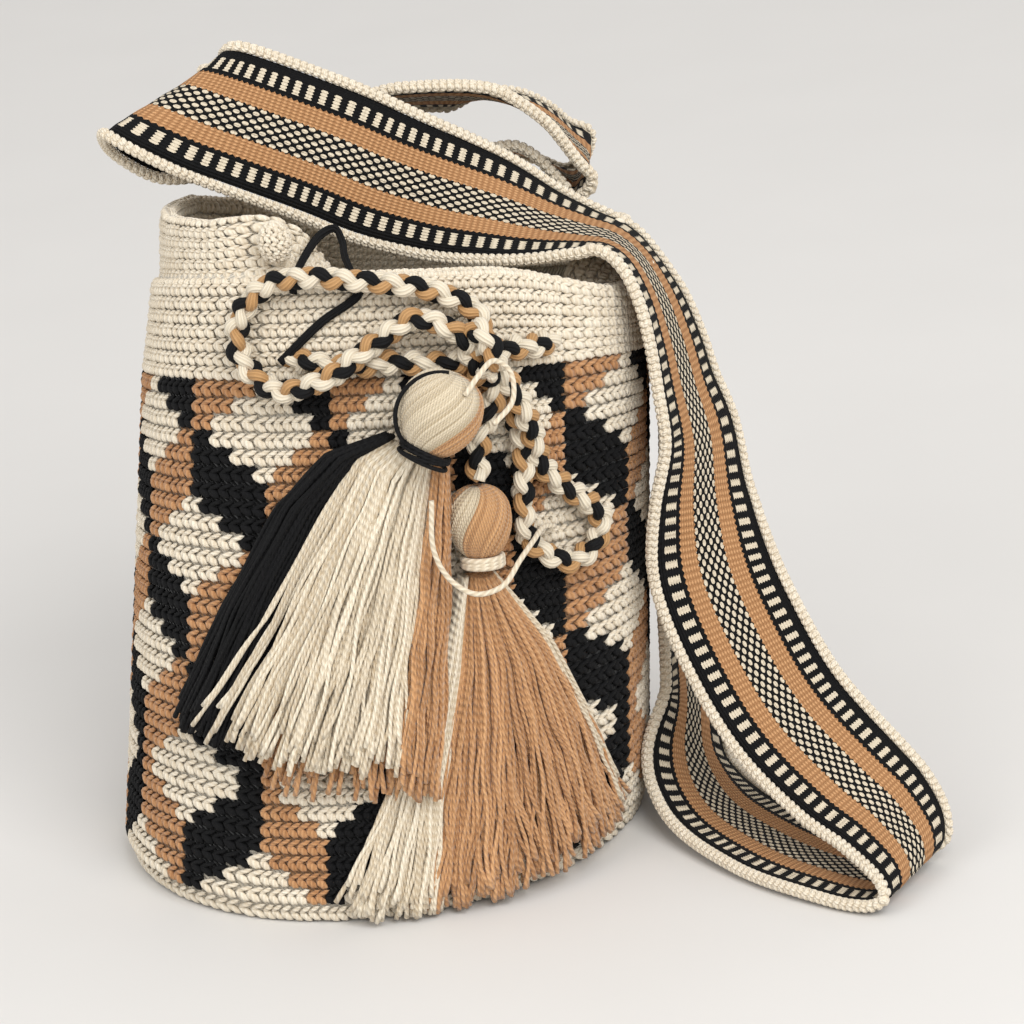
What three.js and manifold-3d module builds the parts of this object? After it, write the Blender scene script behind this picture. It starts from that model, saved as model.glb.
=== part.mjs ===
// Wayuu mochila bag: a crocheted bucket bag with a drawstring neck, two big tassels and a woven
// carrying strap that is draped over its mouth and down to the floor on its right.
// Millimetres, +Z up. The front faces -Y, +X is the wearer's right in the picture, and the origin
// is the centre of the flat underside.
import * as THREE from 'three';
import Module from 'manifold-3d';

const wasm = await Module();
wasm.setup();
const { Manifold, Mesh: ManifoldMesh } = wasm;

// Driving dimensions of the crocheted bag
const BASE_HALF_WIDTH = 110;
const BASE_HALF_DEPTH = 106.5;
const BELLY_HALF_WIDTH = 113;
const BELLY_HALF_DEPTH = 109.5;
const NECK_HALF_WIDTH = 105;
const NECK_HALF_DEPTH = 88;
const FOLD_HALF_WIDTH = 101;
const FOLD_HALF_DEPTH = 84;
const EDGE_ROW_HEIGHT = 9;
const PATTERN_ROWS = 31;
const PATTERN_ROW_HEIGHT = 6.35;
const NECK_ROWS = 7;
const NECK_ROW_HEIGHT = 5.15;
const CUFF_ROWS = 5;
const CUFF_ROW_HEIGHT = 5.5;
const FABRIC_THICKNESS = 4;
const BASE_THICKNESS = 5;
const ROW_BULGE = 1.3;
const CUFF_STEP_IN = 3.5;
const BODY_SEGMENTS = 36;

// The soft body leans: sideways and back per millimetre of height, and its rings tip
const LEAN_RIGHT = 0.142;
const LEAN_BACK = 0.024;
const RING_TIP_BACK = 0.104;
const RING_TIP_RIGHT = 0.042;

// The cuff above the fold stands up at the left and back, and is folded into the mouth in front
const CUFF_FOLD_IN_ANGLE = 66;
const FOLD_IN_FROM = -48;
const FOLD_IN_FULL = -16;
const FOLD_OUT_FROM = 66;
const FOLD_OUT_END = 100;
const FOLD_SAG = 9;

// Drawstring, its bow and its tassels
const CORD_DIAMETER = 9.5;
const CORD_HOLE_CLEARANCE = 0.7;
const CORD_STANDOFF = 8.5;
const CORD_INSIDE_CLEARANCE = 2;
const CORD_HEIGHT = 213;
const YARN_DIAMETER = 2.2;
const PIECE_CLEARANCE = 0.4;

const TASSEL_HEADS = {
  tassel_1: { azimuth: 5.5, height: 199.5, standoff: 30.6, radius: 16.5, half_length: 17, tilt: 28 },
  tassel_2: { azimuth: 14.5, height: 153, standoff: 14.6, radius: 13, half_length: 15, tilt: 2 },
};
const TIE_RADIUS = 1.6;
const TIE_TURNS = 2;
const NECK_SHARE = 0.62;

// Carrying strap
const STRAP_WIDTH = 58;
const STRAP_THICKNESS = 2.4;
const EDGING_DIAMETER = 5;
const EDGING_GAP = 0.7;
const STRAP_STEP = 13;

// Flat black lace and the crocheted nub at the mouth
const LACE_WIDTH = 3.6;
const LACE_THICKNESS = 1.2;
const NUB_RADIUS = 7.2;

// Heights that follow from the rows
const PATTERN_TOP = EDGE_ROW_HEIGHT + PATTERN_ROWS * PATTERN_ROW_HEIGHT;
const FOLD_HEIGHT = PATTERN_TOP + NECK_ROWS * NECK_ROW_HEIGHT;
const CUFF_HEIGHT = CUFF_ROWS * CUFF_ROW_HEIGHT;
const CORD_RADIUS = CORD_DIAMETER / 2;
const CORD_INSIDE = -(FABRIC_THICKNESS + CORD_RADIUS + CORD_INSIDE_CLEARANCE);

const radians = THREE.MathUtils.degToRad;
const smooth = (from, to, x) => THREE.MathUtils.smoothstep(x, from, to);

// A value that runs straight between [height, value] stops
function between(stops, height) {
  const last = stops.length - 1;
  if (height <= stops[0][0]) return stops[0][1];
  for (let i = 0; i < last; i += 1) {
    const [h0, v0] = stops[i];
    const [h1, v1] = stops[i + 1];
    if (height <= h1) return v0 + ((v1 - v0) * (height - h0)) / (h1 - h0);
  }
  return stops[last][1];
}

const HALF_WIDTHS = [
  [0, BASE_HALF_WIDTH],
  [EDGE_ROW_HEIGHT, BELLY_HALF_WIDTH],
  [PATTERN_TOP, NECK_HALF_WIDTH],
  [FOLD_HEIGHT, FOLD_HALF_WIDTH],
];
const HALF_DEPTHS = [
  [0, BASE_HALF_DEPTH],
  [EDGE_ROW_HEIGHT, BELLY_HALF_DEPTH],
  [PATTERN_TOP, NECK_HALF_DEPTH],
  [FOLD_HEIGHT, FOLD_HALF_DEPTH],
];

// A point of the leaning wall: azimuth 0 is the front and 90 the right side, standoff is outward
function onWall(azimuth, height, standoff = 0) {
  const angle = radians(azimuth);
  const raised = Math.max(height - EDGE_ROW_HEIGHT, 0);
  const tip = RING_TIP_BACK * Math.cos(angle) - RING_TIP_RIGHT * Math.sin(angle);
  return new THREE.Vector3(
    LEAN_RIGHT * raised + (between(HALF_WIDTHS, height) + standoff) * Math.sin(angle),
    LEAN_BACK * raised - (between(HALF_DEPTHS, height) + standoff) * Math.cos(angle),
    height + raised * tip,
  );
}

// How far the cuff is folded into the mouth at an azimuth, 0 to 1
function foldIn(azimuth) {
  return smooth(FOLD_IN_FROM, FOLD_IN_FULL, azimuth) * (1 - smooth(FOLD_OUT_FROM, FOLD_OUT_END, azimuth));
}

// The height of the fold sags towards the right of the front
function foldHeight(azimuth) {
  const sag = smooth(18, 62, azimuth) * (1 - smooth(74, 115, azimuth));
  return FOLD_HEIGHT - FOLD_SAG * sag;
}

// A point of the cuff, rise millimetres above the fold
function onCuff(azimuth, rise, standoff = 0) {
  const lean = radians(CUFF_FOLD_IN_ANGLE) * foldIn(azimuth);
  const inward = CUFF_STEP_IN + rise * Math.sin(lean) - standoff * Math.cos(lean);
  const up = rise * Math.cos(lean) + standoff * Math.sin(lean);
  return onWall(azimuth, foldHeight(azimuth) + up, -inward);
}

// A closed solid from rings of points that run between two end points
function ringSolid(start, rings, end) {
  const count = rings[0].length;
  const points = [start, ...rings.flat(), end];
  const index = [];
  const at = (ring, i) => 1 + ring * count + (i % count);
  for (let i = 0; i < count; i += 1) index.push(0, at(0, i + 1), at(0, i));
  for (let r = 0; r + 1 < rings.length; r += 1) {
    for (let i = 0; i < count; i += 1) {
      index.push(at(r, i), at(r, i + 1), at(r + 1, i + 1));
      index.push(at(r, i), at(r + 1, i + 1), at(r + 1, i));
    }
  }
  const top = points.length - 1;
  for (let i = 0; i < count; i += 1) {
    index.push(at(rings.length - 1, i), at(rings.length - 1, i + 1), top);
  }
  const geometry = new THREE.BufferGeometry();
  geometry.setAttribute('position', new THREE.Float32BufferAttribute(points.flatMap((p) => [p.x, p.y, p.z]), 3));
  geometry.setIndex(index);
  return signedVolume(geometry) < 0 ? flipped(geometry) : geometry;
}

function signedVolume(geometry) {
  const position = geometry.getAttribute('position');
  const index = geometry.getIndex().array;
  const [a, b, c] = [new THREE.Vector3(), new THREE.Vector3(), new THREE.Vector3()];
  let sum = 0;
  for (let i = 0; i < index.length; i += 3) {
    a.fromBufferAttribute(position, index[i]);
    b.fromBufferAttribute(position, index[i + 1]);
    c.fromBufferAttribute(position, index[i + 2]);
    sum += a.dot(b.cross(c)) / 6;
  }
  return sum;
}

function flipped(geometry) {
  const index = geometry.getIndex().array;
  for (let i = 0; i < index.length; i += 3) {
    [index[i + 1], index[i + 2]] = [index[i + 2], index[i + 1]];
  }
  return geometry;
}

function toManifold(geometry) {
  const mesh = new ManifoldMesh({
    numProp: 3,
    vertProperties: new Float32Array(geometry.getAttribute('position').array),
    triVerts: new Uint32Array(geometry.getIndex().array),
  });
  mesh.merge();
  return new Manifold(mesh);
}

// The largest body of a solid, without slivers
function fromManifold(solid) {
  const bodies = solid.simplify(0.05).decompose();
  const main = bodies.reduce((a, b) => (b.volume() > a.volume() ? b : a));
  const mesh = main.getMesh();
  const geometry = new THREE.BufferGeometry();
  geometry.setAttribute('position', new THREE.Float32BufferAttribute(mesh.vertProperties, 3));
  geometry.setIndex([...mesh.triVerts]);
  return geometry;
}

// Points spread evenly along a smooth curve through the given points
function evenPoints(points, steps, closed = false) {
  const curve = new THREE.CatmullRomCurve3(points, closed, 'centripetal');
  return curve.getSpacedPoints(steps);
}

function tangents(path) {
  return path.map((p, i) => {
    const before = path[Math.max(i - 1, 0)];
    const after = path[Math.min(i + 1, path.length - 1)];
    return new THREE.Vector3().subVectors(after, before).normalize();
  });
}

// A tube of constant radius along a path, with a frame carried along it without twist
function tube(path, radius, sides) {
  const along = tangents(path);
  const side = new THREE.Vector3(0.31, 0.17, 0.94).cross(along[0]).normalize();
  const rings = path.map((p, i) => {
    side.addScaledVector(along[i], -side.dot(along[i])).normalize();
    const up = new THREE.Vector3().crossVectors(along[i], side);
    return Array.from({ length: sides }, (_, k) => {
      const angle = (2 * Math.PI * k) / sides;
      return p.clone()
        .addScaledVector(side, radius * Math.cos(angle))
        .addScaledVector(up, radius * Math.sin(angle));
    });
  });
  return ringSolid(path[0], rings, path[path.length - 1]);
}

// A flat outline swept along a path: widths[i] is the direction across at each path point
function ribbon(path, widths, outline) {
  const along = tangents(path);
  const rings = path.map((p, i) => {
    const across = widths[i].clone().addScaledVector(along[i], -widths[i].dot(along[i])).normalize();
    const out = new THREE.Vector3().crossVectors(along[i], across);
    return outline.map(([a, b]) => p.clone().addScaledVector(across, a).addScaledVector(out, b));
  });
  return ringSolid(path[0], rings, path[path.length - 1]);
}

function named(name, geometry) {
  const mesh = new THREE.Mesh(geometry, new THREE.MeshStandardMaterial());
  mesh.name = name;
  return mesh;
}

// Crocheted body

// One ring of body points at a wall height, or on the cuff when rise is given
function bodyRing(pointAt) {
  return Array.from({ length: BODY_SEGMENTS }, (_, i) => pointAt((360 * i) / BODY_SEGMENTS - 180));
}

function crochetedBody() {
  const rings = [];
  const flatEdge = 0.95;
  const bottom = (azimuth) => {
    const p = onWall(azimuth, 0);
    return new THREE.Vector3(p.x * flatEdge, p.y * flatEdge, 0);
  };
  rings.push(bodyRing(bottom));
  rings.push(bodyRing((azimuth) => onWall(azimuth, 1.4)));
  rings.push(bodyRing((azimuth) => onWall(azimuth, EDGE_ROW_HEIGHT * 0.55, ROW_BULGE)));
  for (let row = 0; row < PATTERN_ROWS; row += 1) {
    const foot = EDGE_ROW_HEIGHT + row * PATTERN_ROW_HEIGHT;
    rings.push(bodyRing((azimuth) => onWall(azimuth, foot)));
    rings.push(bodyRing((azimuth) => onWall(azimuth, foot + PATTERN_ROW_HEIGHT / 2, ROW_BULGE)));
  }
  for (let row = 0; row < NECK_ROWS; row += 1) {
    const share = (azimuth, k) => PATTERN_TOP + ((foldHeight(azimuth) - PATTERN_TOP) * k) / NECK_ROWS;
    rings.push(bodyRing((azimuth) => onWall(azimuth, share(azimuth, row))));
    rings.push(bodyRing((azimuth) => onWall(azimuth, share(azimuth, row + 0.5), ROW_BULGE)));
  }
  for (let row = 0; row < CUFF_ROWS; row += 1) {
    rings.push(bodyRing((azimuth) => onCuff(azimuth, row * CUFF_ROW_HEIGHT)));
    rings.push(bodyRing((azimuth) => onCuff(azimuth, (row + 0.5) * CUFF_ROW_HEIGHT, ROW_BULGE)));
  }
  rings.push(bodyRing((azimuth) => onCuff(azimuth, CUFF_HEIGHT, -FABRIC_THICKNESS * 0.3)));
  rings.push(bodyRing((azimuth) => onCuff(azimuth, CUFF_HEIGHT - 1, -FABRIC_THICKNESS)));
  rings.push(bodyRing((azimuth) => onCuff(azimuth, CUFF_HEIGHT / 2, -FABRIC_THICKNESS)));
  rings.push(bodyRing((azimuth) => onCuff(azimuth, 0, -FABRIC_THICKNESS)));
  const innerTop = FOLD_HEIGHT - FOLD_SAG - 2 * FABRIC_THICKNESS;
  for (const share of [1, 0.85, 0.68, 0.5, 0.3, 0.12]) {
    const height = BASE_THICKNESS + (innerTop - BASE_THICKNESS) * share;
    rings.push(bodyRing((azimuth) => onWall(azimuth, height, -FABRIC_THICKNESS)));
  }
  rings.push(bodyRing((azimuth) => onWall(azimuth, BASE_THICKNESS, -2 * FABRIC_THICKNESS)));
  const start = new THREE.Vector3(0, 0, 0);
  const end = new THREE.Vector3(0, 0, BASE_THICKNESS);
  return toManifold(ringSolid(start, rings, end));
}

// Drawstring: one braided cord, threaded round the neck and tied in a bow in front.
// Route points are [azimuth, height, standoff from the wall].
const KNOT = [14.5, 217.5, 17];
const NECK_ROUTE = [
  [12.5, 213.5, 13],
  [7, 211.5, 8.5],
  [-3, 213, 8],
  [-11, 212, 8],
  [-18, 213, 7],
  [-25, CORD_HEIGHT, -1],
  [-33, CORD_HEIGHT, CORD_INSIDE],
  [-55, CORD_HEIGHT, CORD_INSIDE],
  [-80, CORD_HEIGHT, CORD_INSIDE],
  [-103, CORD_HEIGHT, CORD_INSIDE],
  [-118, CORD_HEIGHT, CORD_INSIDE],
  [-126, CORD_HEIGHT, -2],
  [-135, CORD_HEIGHT, 7],
  [-146, CORD_HEIGHT, 7],
  [-155, CORD_HEIGHT, -2],
  [-164, CORD_HEIGHT, CORD_INSIDE],
  [-180, CORD_HEIGHT, CORD_INSIDE],
  [-196, CORD_HEIGHT, CORD_INSIDE],
  [-205, CORD_HEIGHT, -2],
  [-214, CORD_HEIGHT, 7],
  [-225, CORD_HEIGHT, 7],
  [-234, CORD_HEIGHT, -2],
  [-243, CORD_HEIGHT, CORD_INSIDE],
  [-260, CORD_HEIGHT, CORD_INSIDE],
  [-283, CORD_HEIGHT, CORD_INSIDE],
  [-306, CORD_HEIGHT, CORD_INSIDE],
  [-316, CORD_HEIGHT, CORD_INSIDE],
  [-324, CORD_HEIGHT + 1, -1],
  [-332, CORD_HEIGHT + 2, 8],
  [-339, 216, 12],
  KNOT,
].map(([azimuth, height, standoff], i, route) => (
  i === route.length - 1 ? [azimuth - 360, height, standoff] : [azimuth, height, standoff]
));
const LEFT_BOW_ROUTE = [
  KNOT,
  [15, 229, 14],
  [7, 238, 10],
  [0, 241, 10],
  [-10, 243.5, 10],
  [-20, 245, 9.5],
  [-28, 243.5, 9],
  [-33.5, 237.5, 9],
  [-36.5, 227, 9],
  [-35, 216, 9],
  [-30, 208, 9],
  [-25, 205, 12],
  [-20, 207, 15],
  [-13.5, 212, 17],
  [-8, 219, 15],
  [-3, 225, 13],
  [2, 230, 14],
  [8, 227, 17],
  KNOT,
];
const RIGHT_BOW_ROUTE = [
  KNOT,
  [20, 202, 14],
  [24, 184, 9],
  [25, 166, 9],
  [25, 152, 9],
  [26.5, 141, 9],
  [31, 134, 9],
  [37, 129.5, 9],
  [42.5, 133, 9],
  [45.5, 139.5, 9],
  [44, 147, 9],
  [39, 154, 9],
  [33.5, 162, 9],
  [29, 170, 10],
  [26, 182, 14],
  [21, 200, 20],
  KNOT,
];
const TAIL_ROUTE = [
  KNOT,
  [17, 202, 18],
  [15, 187, 15],
  [14, 176, 15],
  [14.4, 169.5, 16.3],
];

const wallPoint = ([azimuth, height, standoff]) => onWall(azimuth, height, standoff);

// The whole cord, or the room it takes up when it is grown
function drawstring(grow = 0) {
  const pieces = [
    [[[14.5, 216, 16], ...NECK_ROUTE], 132],
    [LEFT_BOW_ROUTE, 52],
    [RIGHT_BOW_ROUTE, 46],
    [TAIL_ROUTE, 14],
  ].map(([route, steps]) => toManifold(tube(evenPoints(route.map(wallPoint), steps), CORD_RADIUS + grow, 6)));
  const centre = wallPoint(KNOT);
  const wrap = Array.from({ length: 15 }, (_, i) => {
    const angle = (2 * Math.PI * i) / 14 - 0.6;
    return centre.clone().add(new THREE.Vector3(4.2 * Math.cos(angle), -5 * Math.cos(angle) - 4, 10 * Math.sin(angle)));
  });
  pieces.push(toManifold(tube(evenPoints(wrap, 18), CORD_RADIUS + grow, 6)));
  pieces.push(Manifold.sphere(1, 12).scale([8 + grow, 8 + grow, 12 + grow]).translate(centre.toArray()));
  return Manifold.union(pieces);
}

// The eyelets are the cord's own passage through the wall, a little wider than the cord
function eyelets() {
  const path = evenPoints(NECK_ROUTE.map(wallPoint), 96);
  return toManifold(tube(path, CORD_RADIUS + CORD_HOLE_CLEARANCE, 8));
}

// Tassels

function tasselAxis(head) {
  const centre = onWall(head.azimuth, head.height, head.standoff);
  const tilt = radians(head.tilt);
  const up = new THREE.Vector3(Math.sin(tilt), 0.12, Math.cos(tilt)).normalize();
  return { centre, up };
}

// A ball of wound yarn: an egg of revolution with shallow ridges along its windings
function tasselHead(head) {
  const { centre, up } = tasselAxis(head);
  const turn = new THREE.Quaternion().setFromUnitVectors(new THREE.Vector3(0, 0, 1), up);
  const segments = 24;
  const rings = [];
  for (let k = 1; k < 10; k += 1) {
    const angle = Math.PI * (k / 10);
    const level = -head.half_length * Math.cos(angle);
    const taper = 1 - 0.12 * Math.cos(angle) * -1;
    rings.push(Array.from({ length: segments }, (_, i) => {
      const ridge = i % 2 ? 0.96 : 1;
      const radius = head.radius * Math.sin(angle) ** 0.8 * ridge * (2 - taper);
      const round = (2 * Math.PI * i) / segments;
      return new THREE.Vector3(radius * Math.cos(round), radius * Math.sin(round), level)
        .applyQuaternion(turn).add(centre);
    }));
  }
  const foot = centre.clone().addScaledVector(up, -head.half_length);
  const crown = centre.clone().addScaledVector(up, head.half_length);
  return toManifold(ringSolid(foot, rings, crown));
}

// Where the tassel is tied in below its ball, and how wide it is there
function tasselNeck(head) {
  const { centre, up } = tasselAxis(head);
  const drop = head.half_length * 0.85 + TIE_RADIUS;
  return { centre: centre.addScaledVector(up, -drop), up, radius: head.radius * NECK_SHARE };
}

// Yarn wound round the neck, or the room it takes up when it is grown
function tasselTie(head, grow = 0) {
  const { centre, up, radius } = tasselNeck(head);
  const turn = new THREE.Quaternion().setFromUnitVectors(new THREE.Vector3(0, 0, 1), up);
  const ring = (lift) => {
    const torus = new THREE.TorusGeometry(radius, TIE_RADIUS + grow, 8, 28);
    const solid = toManifold(indexedTorus(torus));
    const m = new THREE.Matrix4().compose(
      centre.clone().addScaledVector(up, -lift), turn, new THREE.Vector3(1, 1, 1),
    );
    return solid.transform(m.toArray());
  };
  return Manifold.union(Array.from({ length: TIE_TURNS }, (_, i) => ring(i * TIE_RADIUS * 1.5)));
}

// A torus whose seam points are shared, so that it is closed
function indexedTorus(torus) {
  const position = torus.getAttribute('position');
  const seen = new Map();
  const points = [];
  const remap = Array.from({ length: position.count }, (_, i) => {
    const key = [position.getX(i), position.getY(i), position.getZ(i)].map((v) => v.toFixed(3)).join();
    if (!seen.has(key)) {
      seen.set(key, points.length / 3);
      points.push(position.getX(i), position.getY(i), position.getZ(i));
    }
    return seen.get(key);
  });
  const geometry = new THREE.BufferGeometry();
  geometry.setAttribute('position', new THREE.Float32BufferAttribute(points, 3));
  geometry.setIndex([...torus.getIndex().array].map((i) => remap[i]));
  return geometry;
}

// A bundle of strands that fans down the front of the bag. Its left and right edges are routes
// of [azimuth, height]; its back lies at standoff `back` and its flutes are its strands.
function strandBundle({ left, right, back, depth, flutes, rows = 7 }) {
  const leftEdge = evenPoints(left.map(([a, h], i) => new THREE.Vector3(a, h, back[i])), rows);
  const rightEdge = evenPoints(right.map(([a, h], i) => new THREE.Vector3(a, h, back[i])), rows);
  const across = flutes * 2;
  const rings = leftEdge.map((l, v) => {
    const r = rightEdge[v];
    const at = (u) => new THREE.Vector3().lerpVectors(l, r, u);
    const front = Array.from({ length: across + 1 }, (_, i) => {
      const p = at(i / across);
      const crown = Math.sin((Math.PI * (i + 0.5)) / (across + 1)) ** 0.5;
      const flute = i % 2 ? 1 : 0.72;
      const ragged = v === rows ? (i % 2 ? -2.5 : 1.5) : 0;
      return onWall(p.x, Math.max(p.y + ragged, 1), p.z + depth * crown * flute);
    });
    const behind = Array.from({ length: across - 1 }, (_, i) => {
      const p = at(1 - (i + 1) / across);
      return onWall(p.x, Math.max(p.y, 1), p.z);
    });
    return [...front, ...behind];
  });
  const middle = (ring) => ring.reduce((s, p) => s.add(p), new THREE.Vector3()).divideScalar(ring.length);
  return toManifold(ringSolid(middle(rings[0]), rings, middle(rings[rings.length - 1])));
}

const T2_TOP = 132;
const BUNDLES = {
  tassel_1_black_strands: {
    left: [[-3.4, 190], [-22, 168], [-38, 120], [-49, 78]],
    right: [[-2, 189], [-14, 164], [-27, 120], [-36, 76]],
    back: [15, 6, 2.3, 2.3],
    depth: 7,
    flutes: 6,
  },
  tassel_1_cream_strands: {
    left: [[-1.6, 187], [-13.4, 164], [-26.2, 120], [-35.2, 76]],
    right: [[5, 180], [3, 150], [1, 110], [-1.5, 66]],
    back: [15.5, 15.5, 13, 13],
    depth: 10,
    flutes: 11,
  },
  tassel_1_tan_strands: {
    left: [[5.3, 179.6], [3.3, 150], [1.3, 110], [-1.2, 62]],
    right: [[8, 178], [7, 150], [7.5, 105], [7, 57]],
    back: [15.5, 15.5, 13, 13],
    depth: 9,
    flutes: 4,
  },
  tassel_2_cream_strands: {
    left: [[11.6, T2_TOP], [6, 95], [-3, 50], [-10, 12]],
    right: [[13, T2_TOP], [12, 95], [9, 50], [6, 6]],
    back: [5, 3.2, 3.2, 3.2],
    depth: 7,
    flutes: 6,
  },
  tassel_2_tan_strands: {
    left: [[13.4, T2_TOP], [12.4, 95], [9.4, 50], [6.4, 6]],
    right: [[18, T2_TOP], [32, 98], [44, 60], [54, 20]],
    back: [5, 3.2, 3.2, 3.2],
    depth: 10,
    flutes: 13,
  },
};

// Yarn loop that hangs the first tassel from the bow, and a stray thread end.
// Route points are [azimuth, height, standoff].
const HANGING_LOOP = [
  [8.5, 209.5, 44.8],
  [11, 215, 41],
  [14.5, 218, 33.9],
  [17.5, 213, 32.4],
  [17, 204, 38],
  [13, 198, 45],
];
const STRAY_THREAD = [
  [4, 169, 33],
  [4.5, 150, 32],
  [7.5, 138, 31],
  [11.5, 132.5, 33],
  [16, 134, 33],
  [20, 141, 28],
  [24.5, 145, 20],
  [29, 146, 11],
  [34, 143.5, 5],
];

// Carrying strap. Stations are [centre x, y, z], [direction across, from the near edge].
const STRAP_STATIONS = [
  [[136.7, 16, 234], [0, 1, 0.02]],
  [[137.3, 15, 218], [0.02, 1, 0.02]],
  [[139, 11, 190], [0.06, 1, 0]],
  [[138, 6, 140], [0.18, 0.97, -0.05]],
  [[136, 2, 95], [0.33, 0.92, -0.15]],
  [[136, -2, 64], [0.4, 0.88, -0.22]],
  [[136, -8, 38], [0.49, 0.82, -0.22]],
  [[133, -25, 19], [0.56, 0.81, -0.12]],
  [[138, -52, 8], [0.58, 0.81, -0.04]],
  [[157, -92, 4], [0.56, 0.83, 0]],
  [[177, -121, 3.6], [0.58, 0.81, 0]],
  [[198, -141, 3.8], [0.59, 0.8, 0.02]],
  [[208, -147, 8], [0.6, 0.79, 0.05]],
  [[209, -144, 16], [0.64, 0.75, 0.12]],
  [[201, -126, 27], [0.76, 0.6, 0.24]],
  [[190, -112, 36], [0.8, 0.45, 0.38]],
  [[170, -86, 57], [0.8, 0.32, 0.5]],
  [[157, -64, 82], [0.82, 0.28, 0.5]],
  [[148, -48, 111], [0.9, 0.32, 0.28]],
  [[147, -40, 137], [0.8, 0.57, 0.15]],
  [[149, -34, 166], [0.62, 0.78, -0.03]],
  [[149, -31, 188], [0.57, 0.8, -0.17]],
  [[146, -28, 208], [0.55, 0.78, -0.24]],
  [[141, -24, 230], [0.5, 0.8, -0.3]],
  [[134, -18, 247], [0.44, 0.86, -0.22]],
  [[124, -10, 257], [0.36, 0.93, -0.03]],
  [[112, -2, 260], [0.34, 0.93, 0.12]],
  [[98, 4, 261], [0.34, 0.9, 0.28]],
  [[77, 10, 266], [0.37, 0.68, 0.64]],
  [[54, 12, 275], [0.4, 0.32, 0.86]],
  [[31, 12, 284], [0.4, 0.27, 0.88]],
  [[11, 12, 295], [0.42, 0.27, 0.87]],
  [[-11, 12, 308], [0.48, 0.26, 0.84]],
  [[-32, 12, 318], [0.6, 0.24, 0.77]],
  [[-52, 12, 325], [0.77, 0.22, 0.6]],
  [[-61, 19, 323], [0.8, 0.25, 0.52]],
  [[-61, 30, 319], [0.76, 0.15, 0.62]],
  [[-51, 42, 314], [0.4, 0.3, 0.85]],
  [[-22, 50, 311], [0.2, 0.75, 0.6]],
  [[12, 55, 310], [0.1, 0.93, 0]],
  [[44, 51, 310], [0.05, 0.9, -0.4]],
  [[68, 49, 308], [0.03, 0.9, -0.42]],
  [[86, 53, 302], [0.1, 0.96, -0.27]],
  [[103, 59, 288], [0.14, 0.98, -0.17]],
  [[114, 63, 274], [0.14, 0.98, -0.14]],
  [[119, 66, 264], [0.12, 0.98, -0.1]],
  [[112, 68, 258], [0.02, 0.99, -0.05]],
  [[103, 70, 266], [-0.05, 0.98, -0.15]],
  [[91, 72, 275], [-0.03, 0.95, -0.3]],
  [[76, 74, 274], [0, 0.95, -0.3]],
  [[60, 80, 270], [0, 0.97, -0.2]],
];

function strapFrame() {
  const centres = STRAP_STATIONS.map(([c]) => new THREE.Vector3(...c));
  const curve = new THREE.CatmullRomCurve3(centres, false, 'centripetal');
  const acrosses = STRAP_STATIONS.map(([, a]) => new THREE.Vector3(...a).normalize());
  const widthAt = new THREE.CatmullRomCurve3(acrosses, false, 'centripetal');
  const spans = centres.length - 1;
  const stops = [];
  for (let i = 0; i < spans; i += 1) {
    const steps = Math.max(2, Math.round(centres[i].distanceTo(centres[i + 1]) / STRAP_STEP));
    for (let k = 0; k < steps; k += 1) stops.push((i + k / steps) / spans);
  }
  stops.push(1);
  const path = stops.map((t) => curve.getPoint(t));
  const widths = stops.map((t) => widthAt.getPoint(t).normalize());
  const along = tangents(path);
  const across = widths.map((w, i) => w.addScaledVector(along[i], -w.dot(along[i])).normalize());
  return { path, across };
}

// The woven band is thinnest between its stripes, which stand a little proud
function strapOutline() {
  const half = STRAP_WIDTH / 2 - EDGING_DIAMETER - EDGING_GAP;
  const thick = STRAP_THICKNESS / 2;
  const thin = thick * 0.7;
  const top = [[-half, thin], [-half * 0.56, thick], [-half * 0.24, thin], [half * 0.24, thin], [half * 0.56, thick], [half, thin]];
  const bottom = top.map(([a, b]) => [a, -b]).reverse();
  return [...top, ...bottom].reverse();
}

function strapPieces() {
  const { path, across } = strapFrame();
  const edge = STRAP_WIDTH / 2 - EDGING_DIAMETER / 2;
  const rope = (side) => path.map((p, i) => p.clone().addScaledVector(across[i], side * edge));
  const room = [-1, 1].map((side) => toManifold(tube(rope(side), EDGING_DIAMETER / 2 + PIECE_CLEARANCE, 6)));
  return {
    strap_band: fromManifold(toManifold(ribbon(path, across, strapOutline())).subtract(Manifold.union(room))),
    strap_near_edging: tube(rope(-1), EDGING_DIAMETER / 2, 6),
    strap_far_edging: tube(rope(1), EDGING_DIAMETER / 2, 6),
  };
}

// The flat lace comes over the mouth twice and ends at the left eyelet
function lace() {
  const lift = ROW_BULGE + PIECE_CLEARANCE + LACE_THICKNESS / 2 + 1.5;
  const centres = [
    onWall(-23, CORD_HEIGHT + 8.5, lift),
    onWall(-16, 229.5, lift),
    onWall(-9.5, 237.5, lift),
    onWall(-10.5, FOLD_HEIGHT, lift + 0.6),
    onCuff(-14, 6, lift),
    onCuff(-16, 15, lift),
    onCuff(-19, 21, lift),
    onCuff(-22, 17, lift),
    onCuff(-24, 7, lift),
    onWall(-24.5, FOLD_HEIGHT, lift + 0.6),
    onWall(-24.5, FOLD_HEIGHT - 4, lift),
  ];
  const path = evenPoints(centres, 30);
  const along = tangents(path);
  const axis = onWall(0, FOLD_HEIGHT, -NECK_HALF_DEPTH);
  const widths = path.map((p, i) => {
    const outward = new THREE.Vector3(p.x - axis.x, p.y - axis.y, 0).normalize();
    return new THREE.Vector3().crossVectors(along[i], outward).normalize();
  });
  const a = LACE_WIDTH / 2;
  const b = LACE_THICKNESS / 2;
  return ribbon(path, widths, [[-a, -b], [a, -b], [a, b], [-a, b]]);
}

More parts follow.
